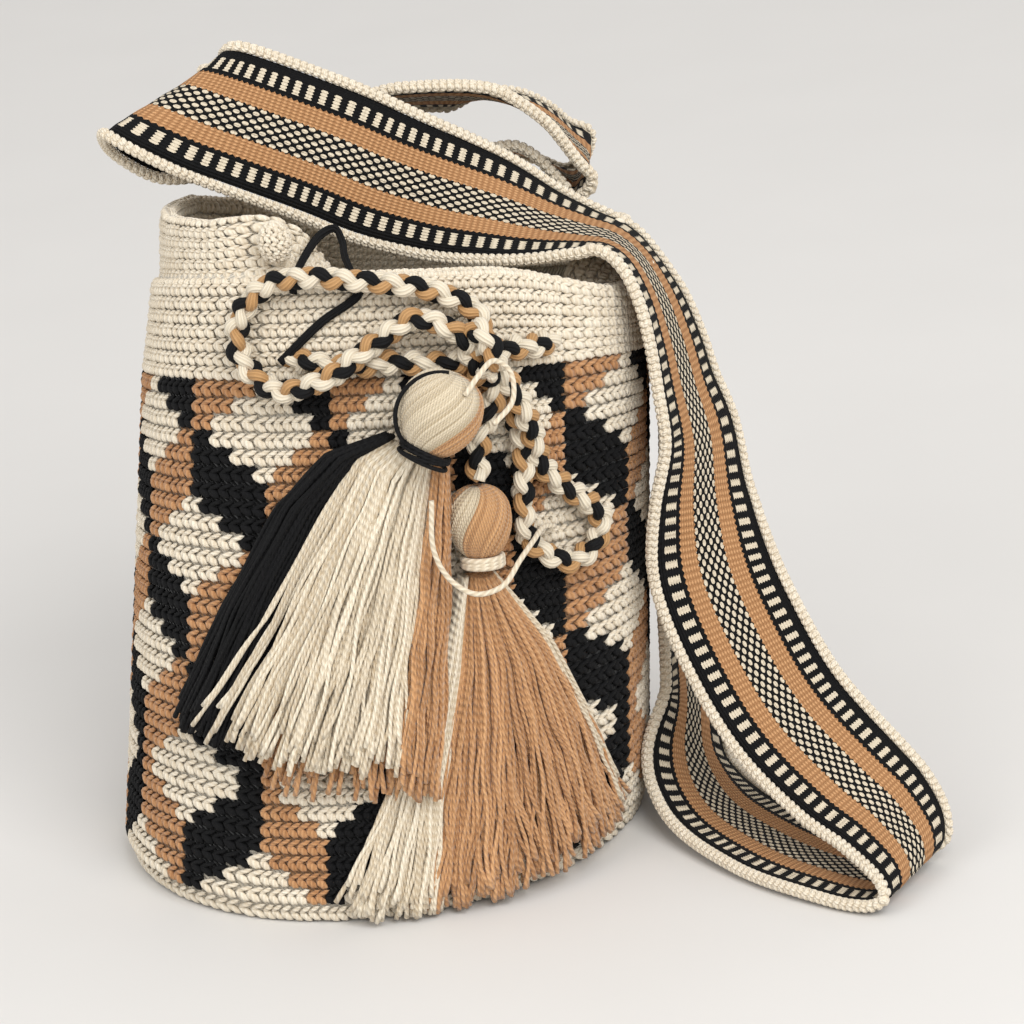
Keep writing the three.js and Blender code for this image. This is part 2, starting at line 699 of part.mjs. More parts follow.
// A crocheted nub: a small knobbly ball on the cuff
function nub() {
  const centre = onCuff(-31, 10, NUB_RADIUS + ROW_BULGE + 0.2);
  const ball = new THREE.IcosahedronGeometry(NUB_RADIUS, 2);
  const solid = indexedTorus(indexed(ball));
  solid.translate(centre.x, centre.y, centre.z);
  return solid;
}

function indexed(geometry) {
  if (geometry.getIndex()) return geometry;
  const count = geometry.getAttribute('position').count;
  geometry.setIndex(Array.from({ length: count }, (_, i) => i));
  return geometry;
}

// Assembly: later pieces are cleared from the ones they press against
const group = new THREE.Group();
group.name = 'wayuu_mochila_bag';

const body = crochetedBody().subtract(eyelets());
const cord = drawstring();
const cordRoom = drawstring(PIECE_CLEARANCE);
group.add(named('bag_body', fromManifold(body)));
group.add(named('drawstring', fromManifold(cord)));

for (const [name, head] of Object.entries(TASSEL_HEADS)) {
  group.add(named(`${name}_head`, fromManifold(tasselHead(head).subtract(cordRoom))));
  group.add(named(`${name}_tie`, fromManifold(tasselTie(head))));
}
for (const [name, bundle] of Object.entries(BUNDLES)) {
  const head = TASSEL_HEADS[name.slice(0, 8)];
  const room = tasselTie(head, PIECE_CLEARANCE);
  group.add(named(name, fromManifold(strandBundle(bundle).subtract(room))));
}
const yarn = (route, steps) => tube(evenPoints(route.map(wallPoint), steps), YARN_DIAMETER / 2, 6);
group.add(named('tassel_1_hanging_loop', yarn(HANGING_LOOP, 16)));
group.add(named('stray_thread', yarn(STRAY_THREAD, 28)));
for (const [name, geometry] of Object.entries(strapPieces())) group.add(named(name, geometry));
group.add(named('mouth_lace', lace()));
group.add(named('mouth_nub', nub()));

export default group;
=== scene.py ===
"""Looks of the wayuu mochila bag: crochet stitches, braided drawstring, tassels and woven strap.

The bag's front faces -Y, +Z is up. Sizes of the bag are in millimetres and turned into
metres by MM where points are made.
"""
import math
import random

import bmesh
import bpy
import numpy as np
from mathutils import Matrix, Vector


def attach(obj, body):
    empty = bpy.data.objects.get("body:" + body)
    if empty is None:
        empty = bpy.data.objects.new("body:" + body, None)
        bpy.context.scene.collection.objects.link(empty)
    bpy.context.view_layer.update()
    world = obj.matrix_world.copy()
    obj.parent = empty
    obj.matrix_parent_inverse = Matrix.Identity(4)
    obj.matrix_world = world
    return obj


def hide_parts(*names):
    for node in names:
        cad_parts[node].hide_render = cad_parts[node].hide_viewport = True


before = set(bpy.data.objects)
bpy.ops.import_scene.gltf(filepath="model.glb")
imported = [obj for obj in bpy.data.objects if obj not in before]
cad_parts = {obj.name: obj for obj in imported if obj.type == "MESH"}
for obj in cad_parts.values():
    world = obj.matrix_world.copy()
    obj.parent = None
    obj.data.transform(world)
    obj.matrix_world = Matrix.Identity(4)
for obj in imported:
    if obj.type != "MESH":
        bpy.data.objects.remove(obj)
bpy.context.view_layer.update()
MM = 0.001
chance = random.Random(7)


# Camera: a long lens, tipped down and rolled a little, as the photograph was taken
CAMERA_PLACE = (0.0, -1.78, 0.80)
CAMERA_YAW, CAMERA_PITCH, CAMERA_ROLL = 2.2, 20.6, 6.8
LENS = 156.6


def place_camera():
    yaw, pitch, roll = (math.radians(a) for a in (CAMERA_YAW, CAMERA_PITCH, CAMERA_ROLL))
    forward = Vector((
        math.sin(yaw) * math.cos(pitch), math.cos(yaw) * math.cos(pitch), -math.sin(pitch)))
    level = Vector((math.cos(yaw), -math.sin(yaw), 0))
    upright = level.cross(forward)
    right = level * math.cos(roll) - upright * math.sin(roll)
    up = level * math.sin(roll) + upright * math.cos(roll)
    camera = bpy.data.objects.new("camera", bpy.data.cameras.new("camera"))
    camera.data.lens = LENS
    camera.data.sensor_width = 36
    turn = Matrix((right, up, -forward)).transposed().to_4x4()
    camera.matrix_world = Matrix.Translation(CAMERA_PLACE) @ turn
    bpy.context.collection.objects.link(camera)
    bpy.context.scene.camera = camera


place_camera()


# Shape of the leaning crocheted wall. Rows, sizes and lean are the part's; the folded mouth is
# fitted to the photograph here
EDGE_ROW = 9
PATTERN_ROWS, PATTERN_ROW = 31, 6.35
NECK_ROWS, NECK_ROW = 7, 5.15
CUFF_ROWS, CUFF_ROW = 5, 5.5
PATTERN_TOP = EDGE_ROW + PATTERN_ROWS * PATTERN_ROW
FOLD_HEIGHT = PATTERN_TOP + NECK_ROWS * NECK_ROW
LEVELS = (0, EDGE_ROW, PATTERN_TOP, FOLD_HEIGHT)
HALF_WIDTHS = (110, 113, 105, 101)
HALF_DEPTHS = (106.5, 109.5, 88, 84)
LEAN_RIGHT, LEAN_BACK = 0.142, 0.024
TIP_BACK, TIP_RIGHT = 0.104, 0.042
NECK_LEVEL = 1 + PATTERN_ROWS
FOLD_LEVEL = NECK_LEVEL + NECK_ROWS
RIM_LEVEL = FOLD_LEVEL + CUFF_ROWS
CUFF_HEIGHT = CUFF_ROWS * CUFF_ROW
CUFF_FOLD_IN = 112
CUFF_STEP_IN = 3.5
# How high the cuff stands round the mouth, as a share of its rows, at these azimuths
RIM_AT = (-180, -165, -150, -135, -115, -95, -75, -55, -35, -10, 60, 85, 110, 140, 180)
RIM_SHARE = (0.5, 0.62, 0.95, 1.2, 1.2, 1.0, 0.82, 0.72, 0.76, 1, 1, 0.9, 0.8, 0.6, 0.5)
FOLD_SAG = 9
FABRIC = 4


def together(*values):
    return np.broadcast_arrays(*(np.asarray(value, float) for value in values))


def smoothstep(low, high, x):
    t = np.clip((np.asarray(x, float) - low) / (high - low), 0, 1)
    return t * t * (3 - 2 * t)


def hump(x, start, top, end, foot):
    """0 up to start, 1 from top to end, and 0 again from foot."""
    return smoothstep(start, top, x) * (1 - smoothstep(end, foot, x))


def on_wall(azimuth, height, standoff=0.0):
    """Points in metres; azimuth 0 is the front and 90 the right side."""
    azimuth, height, standoff = together(azimuth, height, standoff)
    angle = np.radians(azimuth)
    raised = np.maximum(height - EDGE_ROW, 0)
    tip = TIP_BACK * np.cos(angle) - TIP_RIGHT * np.sin(angle)
    x = LEAN_RIGHT * raised + (np.interp(height, LEVELS, HALF_WIDTHS) + standoff) * np.sin(angle)
    y = LEAN_BACK * raised - (np.interp(height, LEVELS, HALF_DEPTHS) + standoff) * np.cos(angle)
    return np.stack([x, y, height + raised * tip], -1) * MM


def wrapped(azimuth):
    """The same azimuth from -180 to 180."""
    return (np.asarray(azimuth, float) + 180) % 360 - 180


def fold_in(azimuth):
    """1 where the cuff is folded into the mouth, 0 where it stands."""
    return hump(wrapped(azimuth), -48, -16, 66, 100)


def fold_height(azimuth):
    """Height of the fold above the neck, which the strap presses down at the right."""
    return FOLD_HEIGHT - FOLD_SAG * hump(wrapped(azimuth), 18, 62, 74, 115)


def on_cuff(azimuth, rise, standoff=0.0):
    """Points of the cuff above the fold, in metres; it is folded into the mouth in front, and
    pressed down under the strap at the back."""
    lean = math.radians(CUFF_FOLD_IN) * fold_in(azimuth)
    rise = rise * np.interp(wrapped(azimuth), RIM_AT, RIM_SHARE)
    inward = CUFF_STEP_IN + rise * np.sin(lean) - standoff * np.cos(lean)
    up = rise * np.cos(lean) + standoff * np.sin(lean)
    return on_wall(azimuth, fold_height(azimuth) + up, -inward)


def on_bag(azimuth, level, standoff=0.0):
    """One surface for wall and cuff: level 0 to 1 is the base row, then the pattern rows, the
    neck rows and the cuff rows, one unit for each row."""
    azimuth, level, standoff = together(azimuth, level, standoff)
    fold = fold_height(azimuth)
    neck_height = PATTERN_TOP + (fold - PATTERN_TOP) * (level - NECK_LEVEL) / NECK_ROWS
    height = np.where(level < 1, level * EDGE_ROW, EDGE_ROW + (level - 1) * PATTERN_ROW)
    height = np.where(level > NECK_LEVEL, neck_height, height)
    wall = on_wall(azimuth, np.minimum(height, fold), standoff)
    cuff = on_cuff(azimuth, (level - FOLD_LEVEL) * CUFF_ROW, standoff)
    return np.where((level > FOLD_LEVEL)[..., None], cuff, wall)


# Paths and swept meshes

def along_curve(points, per_span):
    """A centripetal Catmull-Rom curve; per_span gives the number of steps in each span."""
    p = np.asarray(points, float)
    p = np.vstack([2 * p[0] - p[1], p, 2 * p[-1] - p[-2]])
    out = []
    for i, steps in enumerate(per_span):
        a, b, c, d = p[i:i + 4]
        ta = 0.0
        tb = ta + max(np.linalg.norm(b - a), 1e-9) ** 0.5
        tc = tb + max(np.linalg.norm(c - b), 1e-9) ** 0.5
        td = tc + max(np.linalg.norm(d - c), 1e-9) ** 0.5
        t = np.linspace(tb, tc, steps, endpoint=False)[:, None]
        ab = (tb - t) / (tb - ta) * a + (t - ta) / (tb - ta) * b
        bc = (tc - t) / (tc - tb) * b + (t - tb) / (tc - tb) * c
        cd = (td - t) / (td - tc) * c + (t - tc) / (td - tc) * d
        abc = (tc - t) / (tc - ta) * ab + (t - ta) / (tc - ta) * bc
        bcd = (td - t) / (td - tb) * bc + (t - tb) / (td - tb) * cd
        out.append((tc - t) / (tc - tb) * abc + (t - tb) / (tc - tb) * bcd)
    out.append(p[-2:-1])
    return np.vstack(out)


def even_path(points, step):
    """The same curve with points spread evenly, about a step apart."""
    dense = along_curve(points, [24] * (len(points) - 1))
    run = run_along(dense)
    count = max(int(round(run[-1] / step)), 2)
    at = np.linspace(0, run[-1], count + 1)
    return np.stack([np.interp(at, run, dense[:, k]) for k in range(3)], -1)


def run_along(path):
    """Distance from the start at each point."""
    return np.concatenate([[0], np.cumsum(np.linalg.norm(np.diff(path, axis=0), axis=1))])


def unit(v):
    return v / np.maximum(np.linalg.norm(v, axis=-1, keepdims=True), 1e-12)


def directions(path):
    return unit(np.gradient(path, axis=0))


def carried_frames(path):
    """Tangent, side and up at each point, carried along without twist."""
    tangent = directions(path)
    side = unit(np.cross([0.31, 0.17, 0.94], tangent[0]))
    sides = []
    for t in tangent:
        side = unit(side - t * np.dot(side, t))
        sides.append(side)
    sides = np.array(sides)
    return tangent, sides, np.cross(tangent, sides)


class MeshMaker:
    """Gathers tubes and grids into one mesh with a UV map, a tone and materials."""

    def __init__(self):
        self.points, self.faces, self.uvs, self.slots, self.tones = [], [], [], [], []
        self.count = 0

    def add(self, points, faces, uvs, slot=0, tone=0.5):
        self.points.append(points)
        self.faces.extend([tuple(i + self.count for i in f) for f in faces])
        self.uvs.extend(uvs)
        self.slots.extend(slot if isinstance(slot, list) else [slot] * len(faces))
        self.tones.append(np.broadcast_to(tone, (len(points),)))
        self.count += len(points)

    def tube(self, path, radius, sides=6, slot=0, tone=0.5):
        _, side, up = carried_frames(path)
        self.rings(path, side, up, radius, sides, slot, tone)

    def rings(self, path, side, up, radius, sides, slot=0, tone=0.5):
        """A closed tube; side and up are the directions of its section, and set its shape."""
        turn = np.arange(sides) * 2 * math.pi / sides
        radius = np.broadcast_to(radius, (len(path),))
        rim = side[:, None] * np.cos(turn)[None, :, None] + up[:, None] * np.sin(turn)[None, :, None]
        rim = path[:, None] + rim * radius[:, None, None]
        run = run_along(path) / MM
        n = len(path)
        faces, uvs = [], []
        for i in range(n - 1):
            for k in range(sides):
                j = (k + 1) % sides
                faces.append((i * sides + k, i * sides + j, (i + 1) * sides + j, (i + 1) * sides + k))
                u0, u1 = k / sides, (k + 1) / sides
                uvs.append(((u0, run[i]), (u1, run[i]), (u1, run[i + 1]), (u0, run[i + 1])))
        for ring, order in ((0, -1), (n - 1, 1)):
            faces.append(tuple(ring * sides + k for k in range(sides))[::order])
            uvs.append(tuple((k / sides, run[ring]) for k in range(sides)))
        self.add(rim.reshape(-1, 3), faces, uvs, slot, tone)

    def finish(self, name, materials):
        mesh = bpy.data.meshes.new(name)
        mesh.from_pydata(np.vstack(self.points).tolist(), [], self.faces)
        layer = mesh.uv_layers.new(name="UVMap")
        layer.data.foreach_set("uv", np.array([c for uv in self.uvs for c in uv], float).ravel())
        mesh.polygons.foreach_set("material_index", self.slots)
        tone = mesh.attributes.new("tone", "FLOAT", "POINT")
        tone.data.foreach_set("value", np.concatenate(self.tones))
        for material in materials:
            mesh.materials.append(material)
        mesh.shade_smooth()
        mesh.update()
        piece = bpy.data.objects.new(name, mesh)
        bpy.context.collection.objects.link(piece)
        return piece


# Materials

class Value:
    """A shader socket that can be used in arithmetic."""

    def __init__(self, shade, socket):
        self.shade, self.socket = shade, socket

    def math(self, operation, *others):
        return self.shade.node("ShaderNodeMath", {"operation": operation}, self, *others)

    def __add__(self, other):
        return self.math("ADD", other)

    def __mul__(self, other):
        return self.math("MULTIPLY", other)

    def __sub__(self, other):
        return self.math("SUBTRACT", other)

    def __truediv__(self, other):
        return self.math("DIVIDE", other)

    def below(self, other):
        return self.math("LESS_THAN", other)

    def wave(self):
        return self.math("SINE")

    def part(self):
        return self.math("FRACT")

    def size(self):
        return self.math("ABSOLUTE")

    def at_most(self, other):
        return self.math("MINIMUM", other)

    def at_least(self, other):
        return self.math("MAXIMUM", other)


class Shade:
    """One material and the nodes added to it."""

    def __init__(self, name):
        self.material = bpy.data.materials.new(name)
        self.material.use_nodes = True
        self.tree = self.material.node_tree
        self.shader = self.tree.nodes["Principled BSDF"]

    def node(self, kind, settings=None, *values, output=0, **named):
        node = self.tree.nodes.new(kind)
        for key, value in (settings or {}).items():
            setattr(node, key, value)
        for key, value in list(enumerate(values)) + list(named.items()):
            self.put(node.inputs[key], value)
        return Value(self, node.outputs[output])

    def put(self, socket, value):
        if isinstance(value, Value):
            self.tree.links.new(value.socket, socket)
        else:
            socket.default_value = value

    def attribute(self, name, output="Fac"):
        return self.node("ShaderNodeAttribute", {"attribute_name": name}, output=output)

    def uv(self):
        both = self.node("ShaderNodeUVMap", {"uv_map": "UVMap"})
        split = self.node("ShaderNodeSeparateXYZ", None, both)
        return split, Value(self, split.socket.node.outputs[1])

    def noise(self, scale, detail=3, where=None):
        where = where or self.node("ShaderNodeTexCoord", None, output="Object")
        return self.node("ShaderNodeTexNoise", None, Vector=where, Scale=scale, Detail=detail)

    def mix(self, factor, first, second):
        node = self.tree.nodes.new("ShaderNodeMix")
        node.data_type = "RGBA"
        self.put(node.inputs["Factor"], factor)
        self.put(node.inputs[6], first)
        self.put(node.inputs[7], second)
        return Value(self, node.outputs[2])

    def bump(self, height, distance, strength=1.0):
        return self.node("ShaderNodeBump", None, Height=height, Distance=distance, Strength=strength)

    def finish(self, colour, normal, roughness=0.85, sheen=0.25):
        self.put(self.shader.inputs["Base Color"], colour)
        self.put(self.shader.inputs["Normal"], normal)
        self.put(self.shader.inputs["Roughness"], roughness)
        self.shader.inputs["Sheen Weight"].default_value = sheen
        self.shader.inputs["Sheen Roughness"].default_value = 0.5
        self.shader.inputs["Specular IOR Level"].default_value = 0.25
        return self.material


def linear(red, green, blue):
    """Colour of 0 to 255 display values as the shader takes it."""
    def one(v):
        v /= 255
        return v / 12.92 if v <= 0.04045 else ((v + 0.055) / 1.055) ** 2.4

    return (one(red), one(green), one(blue), 1.0)


def darker(colour, share):
    return tuple(c * share for c in colour[:3]) + (1.0,)


TWO_PI = 2 * math.pi
# The _DEEP colours are the darker end of each yarn's mix: in the yarn shaders they fill the grooves
# between plies as painted shade, and they also carry the random change of tone
CREAM = linear(240, 231, 213)
CREAM_DEEP = linear(212, 196, 170)
TAN = linear(202, 154, 108)
TAN_DEEP = linear(152, 104, 64)
STRAP_TAN = linear(206, 158, 112)
BLACK = linear(13, 13, 15)
BLACK_DEEP = linear(4, 4, 5)
GOLD = linear(200, 158, 108)
GOLD_DEEP = linear(140, 98, 54)


def crochet_yarn(name, colour, deep, sheen=0.2):
    """Yarn of one stitch leg: plies run slantwise over it, with fibres and a change of tone."""
    shade = Shade(name)
    yarn = shade.attribute("yarn", "Vector")
    x = shade.node("ShaderNodeSeparateXYZ", None, yarn)
    y = Value(shade, x.socket.node.outputs[1])
    ply = (x * 9.0 + y * 3.2).wave() * 0.5 + 0.5
    fibre = shade.noise(2600, 4)
    patch = shade.noise(60, 2)
    tone = shade.attribute("tone")
    # Painted shade: the mix goes to the deep colour in the grooves between plies, together with random
    # fibre, patch and tone changes
    depth = (ply * 0.45 + fibre * 0.35 + tone * 0.35 + patch * 0.25 - 0.2).at_most(1.0).at_least(0.0)
    normal = shade.bump(ply * 0.6 + fibre * 0.5, 0.0007, 0.8)
    return shade.finish(shade.mix(depth, deep, colour), normal, 0.85, sheen)


def spun_yarn(name, colour, deep, plies=2, pitch=3.4, sheen=0.25, roughness=0.8):
    """Twisted yarn on a tube: the plies wind round it along its UV map."""
    shade = Shade(name)
    around, run = shade.uv()
    ply = ((around * float(plies) + run * (1.0 / pitch)) * TWO_PI).wave() * 0.5 + 0.5
    fibre = shade.noise(2400, 4)
    tone = shade.attribute("tone")
    # Painted shade: the deep colour falls in the grooves between plies; it also follows the random fibre
    # noise and each strand's random tone
    depth = (ply * 0.3 + fibre * 0.3 + tone * 0.6 - 0.05).at_most(1.0).at_least(0.0)
    normal = shade.bump(ply + fibre * 0.3, 0.0005, 0.7)
    return shade.finish(shade.mix(depth, deep, colour), normal, roughness, sheen)


def backing(name, colour):
    """The fabric seen deep between stitches, and plain inside faces with rows of stitches."""
    shade = Shade(name)
    around, level = shade.uv()
    slant = ((level.part() - 0.5).size() * 1.6 + around).part() - 0.5
    ridge = (slant.size() * TWO_PI).wave() * 0.5
    row = (level * TWO_PI).wave() * 0.5
    fibre = shade.noise(1400, 4)
    normal = shade.bump(ridge + row + fibre * 0.4, 0.0012, 0.9)
    # Painted shade: the colour darkens to 0.55 of itself in the grooves between the stitch ridges, mixed
    # with random fibre noise
    fibre_and_groove_shade = (fibre * 0.5 + ridge * 0.5 + 0.4).at_most(1.0)
    return shade.finish(shade.mix(fibre_and_groove_shade, darker(colour, 0.55), colour), normal)


YARNS = {
    "cream": crochet_yarn("cream_crochet_yarn", CREAM, CREAM_DEEP),
    "tan": crochet_yarn("tan_crochet_yarn", TAN, TAN_DEEP),
    "black": crochet_yarn("black_crochet_yarn", BLACK, BLACK_DEEP, 0.0),
}
CREAM_SPUN = spun_yarn("cream_spun_yarn", linear(246, 236, 215), linear(168, 145, 110))
TAN_SPUN = spun_yarn("tan_spun_yarn", linear(216, 168, 120), linear(136, 90, 52))
BLACK_SPUN = spun_yarn("black_spun_yarn", BLACK, BLACK_DEEP, 2, 3.4, 0.0)
BLACK_LACE = spun_yarn("black_lace_braid", BLACK, BLACK_DEEP, 8, 60, 0.0)
CREAM_WOUND = spun_yarn("cream_wound_yarn", linear(222, 208, 182), linear(160, 140, 108), 2, 1.7)
TAN_WOUND = spun_yarn("tan_wound_yarn", linear(208, 162, 114), linear(138, 94, 56), 2, 1.7)
CREAM_STRAND = spun_yarn("cream_cord_strand", linear(236, 227, 208), linear(196, 180, 152), 9, 16)
BLACK_STRAND = spun_yarn("black_cord_strand", BLACK, BLACK_DEEP, 9, 16, 0.0)
GOLD_STRAND = spun_yarn("gold_cord_strand", GOLD, GOLD_DEEP, 9, 16, 0.1, 0.55)


# Drawstring, its bow, and the loose thread. Route points are azimuth, height and standoff.
CORD_HEIGHT = 213
CORD_INSIDE = -10.75
KNOT = (14.5, 217.5, 17)
NECK_ROUTE = [
    KNOT, (12.5, 213.5, 13), (7, 211.5, 8.5), (-3, 213, 8), (-11, 212, 8), (-18, 213, 7),
    (-25, CORD_HEIGHT, -1), (-33, CORD_HEIGHT, CORD_INSIDE),
    (-55, CORD_HEIGHT, CORD_INSIDE), (-80, CORD_HEIGHT, CORD_INSIDE),
    (-103, CORD_HEIGHT, CORD_INSIDE), (-118, CORD_HEIGHT, CORD_INSIDE), (-126, CORD_HEIGHT, -2),
    (-135, CORD_HEIGHT, 7), (-146, CORD_HEIGHT, 7), (-155, CORD_HEIGHT, -2),
    (-164, CORD_HEIGHT, CORD_INSIDE), (-180, CORD_HEIGHT, CORD_INSIDE), (-196, CORD_HEIGHT, CORD_INSIDE),
    (-205, CORD_HEIGHT, -2), (-214, CORD_HEIGHT, 7), (-225, CORD_HEIGHT, 7), (-234, CORD_HEIGHT, -2),
    (-243, CORD_HEIGHT, CORD_INSIDE), (-260, CORD_HEIGHT, CORD_INSIDE), (-283, CORD_HEIGHT, CORD_INSIDE),
    (-306, CORD_HEIGHT, CORD_INSIDE), (-316, CORD_HEIGHT, CORD_INSIDE), (-324, CORD_HEIGHT + 1, -1),
    (-332, CORD_HEIGHT + 2, 8), (-339, 216, 12), (-345.5, 217.5, 17),
]
LEFT_BOW_ROUTE = [
    (15, 229, 14), (7, 238, 10), (0, 241, 10), (-10, 243.5, 10), (-20, 245, 9.5), (-28, 243.5, 9),
    (-33.5, 237.5, 9), (-36.5, 227, 9), (-35, 216, 9), (-30, 208, 9), (-25, 205, 12), (-20, 207, 15),
    (-13.5, 212, 17), (-8, 219, 15), (-3, 225, 13), (2, 230, 14), (8, 227, 17), KNOT,
]
RIGHT_BOW_ROUTE = [
    (20, 202, 14), (24, 184, 9), (25, 166, 9), (25, 152, 9), (26.5, 141, 9), (31, 134, 9), (37, 129.5, 9),
    (42.5, 133, 9), (45.5, 139.5, 9), (44, 147, 9), (39, 154, 9), (33.5, 162, 9), (29, 170, 10),
    (26, 182, 14), (21, 200, 20),
]
TAIL_ROUTE = [(14.4, 169.5, 16.3), (14, 176, 15), (15, 187, 15), (17, 202, 18)]
STRAY_THREAD = [
    (4, 169, 33), (4.5, 150, 32), (7.5, 138, 31), (11.5, 132.5, 33), (16, 134, 33), (20, 141, 28),
    (24.5, 145, 20), (29, 146, 11), (34, 143.5, 5),
]
HANGING_LOOP = [
    (8.5, 209.5, 44.8), (11, 215, 41), (14.5, 218, 33.9), (17.5, 213, 32.4), (17, 204, 38), (13, 198, 45),
]


BRAID_PITCH = 19
# Half thickness of a strand and its distance from the cord's middle, and how both swell and
# dip as it goes over and under
STRAND_HALF, STRAND_SWELL = 2.15, 0.4
STRAND_OUT, STRAND_DIP = 2.2, 0.8
STRAND_SLANT = 0.28


def route_points(route):
    return np.array([on_wall(*stop) for stop in route])


def braid(maker, path):
    """Four strands: two wind one way and two the other. Each is plump where it passes over
    another, lies nearly along the cord there, and is thin where it dives under."""
    _, side, up = carried_frames(path)
    turn = run_along(path) / MM * TWO_PI / BRAID_PITCH
    for way, phase, slot in ((1, 0, 0), (1, math.pi, 1), (-1, 0, 2), (-1, math.pi, 0)):
        over = way * np.cos(2 * turn)
        angle = way * (turn - way * STRAND_SLANT * np.sin(2 * turn)) + phase
        out = (STRAND_OUT + STRAND_DIP * over) * MM
        centre = path + side * (np.cos(angle) * out)[:, None] + up * (np.sin(angle) * out)[:, None]
        radius = (STRAND_HALF + STRAND_SWELL * over) * MM
        maker.tube(centre, radius, 9, slot, 0.4 + 0.2 * chance.random())


def make_drawstring():
    """The whole cord from the second tassel through bow and neck, and a turn over its knot."""
    stops = TAIL_ROUTE + [KNOT] + RIGHT_BOW_ROUTE + NECK_ROUTE + LEFT_BOW_ROUTE
    path = even_path(route_points(stops), 1.1 * MM)
    maker = MeshMaker()
    braid(maker, path)
    cord = maker.finish("braided_drawstring", [CREAM_STRAND, BLACK_STRAND, GOLD_STRAND])
    centre = on_wall(*KNOT)
    wrap = []
    for i in range(15):
        a = TWO_PI * i / 14 - 0.6
        wrap.append(centre + np.array([4.2 * math.cos(a), -5 * math.cos(a) - 4, 10 * math.sin(a)]) * MM)
    maker = MeshMaker()
    braid(maker, even_path(wrap, 1.1 * MM))
    knot = maker.finish("bow_knot_turn", [CREAM_STRAND, BLACK_STRAND, GOLD_STRAND])
    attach(cord, "root")
    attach(knot, "root")
    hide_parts("drawstring")


def make_thread(name, route, node):
    """A single yarn along a route, made as a piece of its own."""
    path = even_path(route_points(route), 1.5 * MM)
    maker = MeshMaker()
    maker.tube(path, 1.1 * MM, 8)
    thread = maker.finish(name, [CREAM_SPUN])
    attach(thread, "root")
    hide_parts(node)


make_drawstring()
make_thread("loose_thread", STRAY_THREAD, "stray_thread")
make_thread("tassel_loop", HANGING_LOOP, "tassel_1_hanging_loop")


# Colour pattern: 11 repeats of 7 steps round the bag, 2 stitches to a step
STEPS, STITCHES = 77, 154
STEP_AT = (-3.5, 0, 3.5, 7, 21, 24.5, 73.5)
AZIMUTH_AT = (-72, -53, -31, -16, 38.5, 62, 288)


def azimuth_of(step):
    step = (np.asarray(step, float) + 3.5) % STEPS - 3.5
    return np.interp(step, STEP_AT, AZIMUTH_AT)


def colour_of(row, step):
    """Colour of a stitch, where row 0 is the top row of the pattern."""
    turned = row if row <= 23 else 47 - row
    band, i = divmod(turned - 3, 7)
    s = (step + 3.5 * band) % 7
    if s < 3.5 and i - 3.7 < s < i + 1:
        return "black"
    if s >= 3.5 and i - 3.7 < 7 - s < i + 1:
        return "tan"
    return "cream"


# Stitches

def turned_to(along, outward):
    """XYZ angles that point X along each leg and Z away from the fabric."""
    x = unit(along)
    z = unit(outward - x * (outward * x).sum(-1, keepdims=True))
    y = np.cross(z, x)
    pitch = np.arcsin(np.clip(-x[:, 2], -1, 1))
    return np.stack([np.arctan2(y[:, 2], z[:, 2]), pitch, np.arctan2(x[:, 1], x[:, 0])], -1)


def stitch_tree():
    """Puts one yarn leg on every point, turned and stretched as its attributes say."""
    tree = bpy.data.node_groups.new("yarn_legs", "GeometryNodeTree")
    tree.interface.new_socket("Geometry", in_out="INPUT", socket_type="NodeSocketGeometry")
    for name, kind, value in (("Sides", "NodeSocketInt", 6), ("Rings", "NodeSocketInt", 4)):
        tree.interface.new_socket(name, in_out="INPUT", socket_type=kind).default_value = value
    tree.interface.new_socket("Yarn", in_out="INPUT", socket_type="NodeSocketMaterial")
    tree.interface.new_socket("Geometry", in_out="OUTPUT", socket_type="NodeSocketGeometry")

    def add(kind, **settings):
        node = tree.nodes.new(kind)
        for key, value in settings.items():
            setattr(node, key, value)
        return node

    def read(name):
        node = add("GeometryNodeInputNamedAttribute", data_type="FLOAT_VECTOR")
        node.inputs["Name"].default_value = name
        return node.outputs["Attribute"]

    link = tree.links.new
    start = add("NodeGroupInput")
    leg = add("GeometryNodeMeshUVSphere")
    link(start.outputs["Sides"], leg.inputs["Segments"])
    link(start.outputs["Rings"], leg.inputs["Rings"])
    smooth = add("GeometryNodeSetShadeSmooth")
    link(leg.outputs["Mesh"], smooth.inputs["Geometry"])
    place = add("GeometryNodeStoreNamedAttribute", data_type="FLOAT_VECTOR", domain="POINT")
    place.inputs["Name"].default_value = "yarn"
    link(smooth.outputs["Geometry"], place.inputs["Geometry"])
    link(add("GeometryNodeInputPosition").outputs["Position"], place.inputs["Value"])
    legs = add("GeometryNodeInstanceOnPoints")
    link(start.outputs["Geometry"], legs.inputs["Points"])
    link(place.outputs["Geometry"], legs.inputs["Instance"])
    link(read("turn"), legs.inputs["Rotation"])
    link(read("stretch"), legs.inputs["Scale"])
    real = add("GeometryNodeRealizeInstances")
    link(legs.outputs["Instances"], real.inputs["Geometry"])
    dyed = add("GeometryNodeSetMaterial")
    link(real.outputs["Geometry"], dyed.inputs["Geometry"])
    link(start.outputs["Yarn"], dyed.inputs["Material"])
    end = add("NodeGroupOutput")
    link(dyed.outputs["Geometry"], end.inputs["Geometry"])
    return tree


LEGS = stitch_tree()


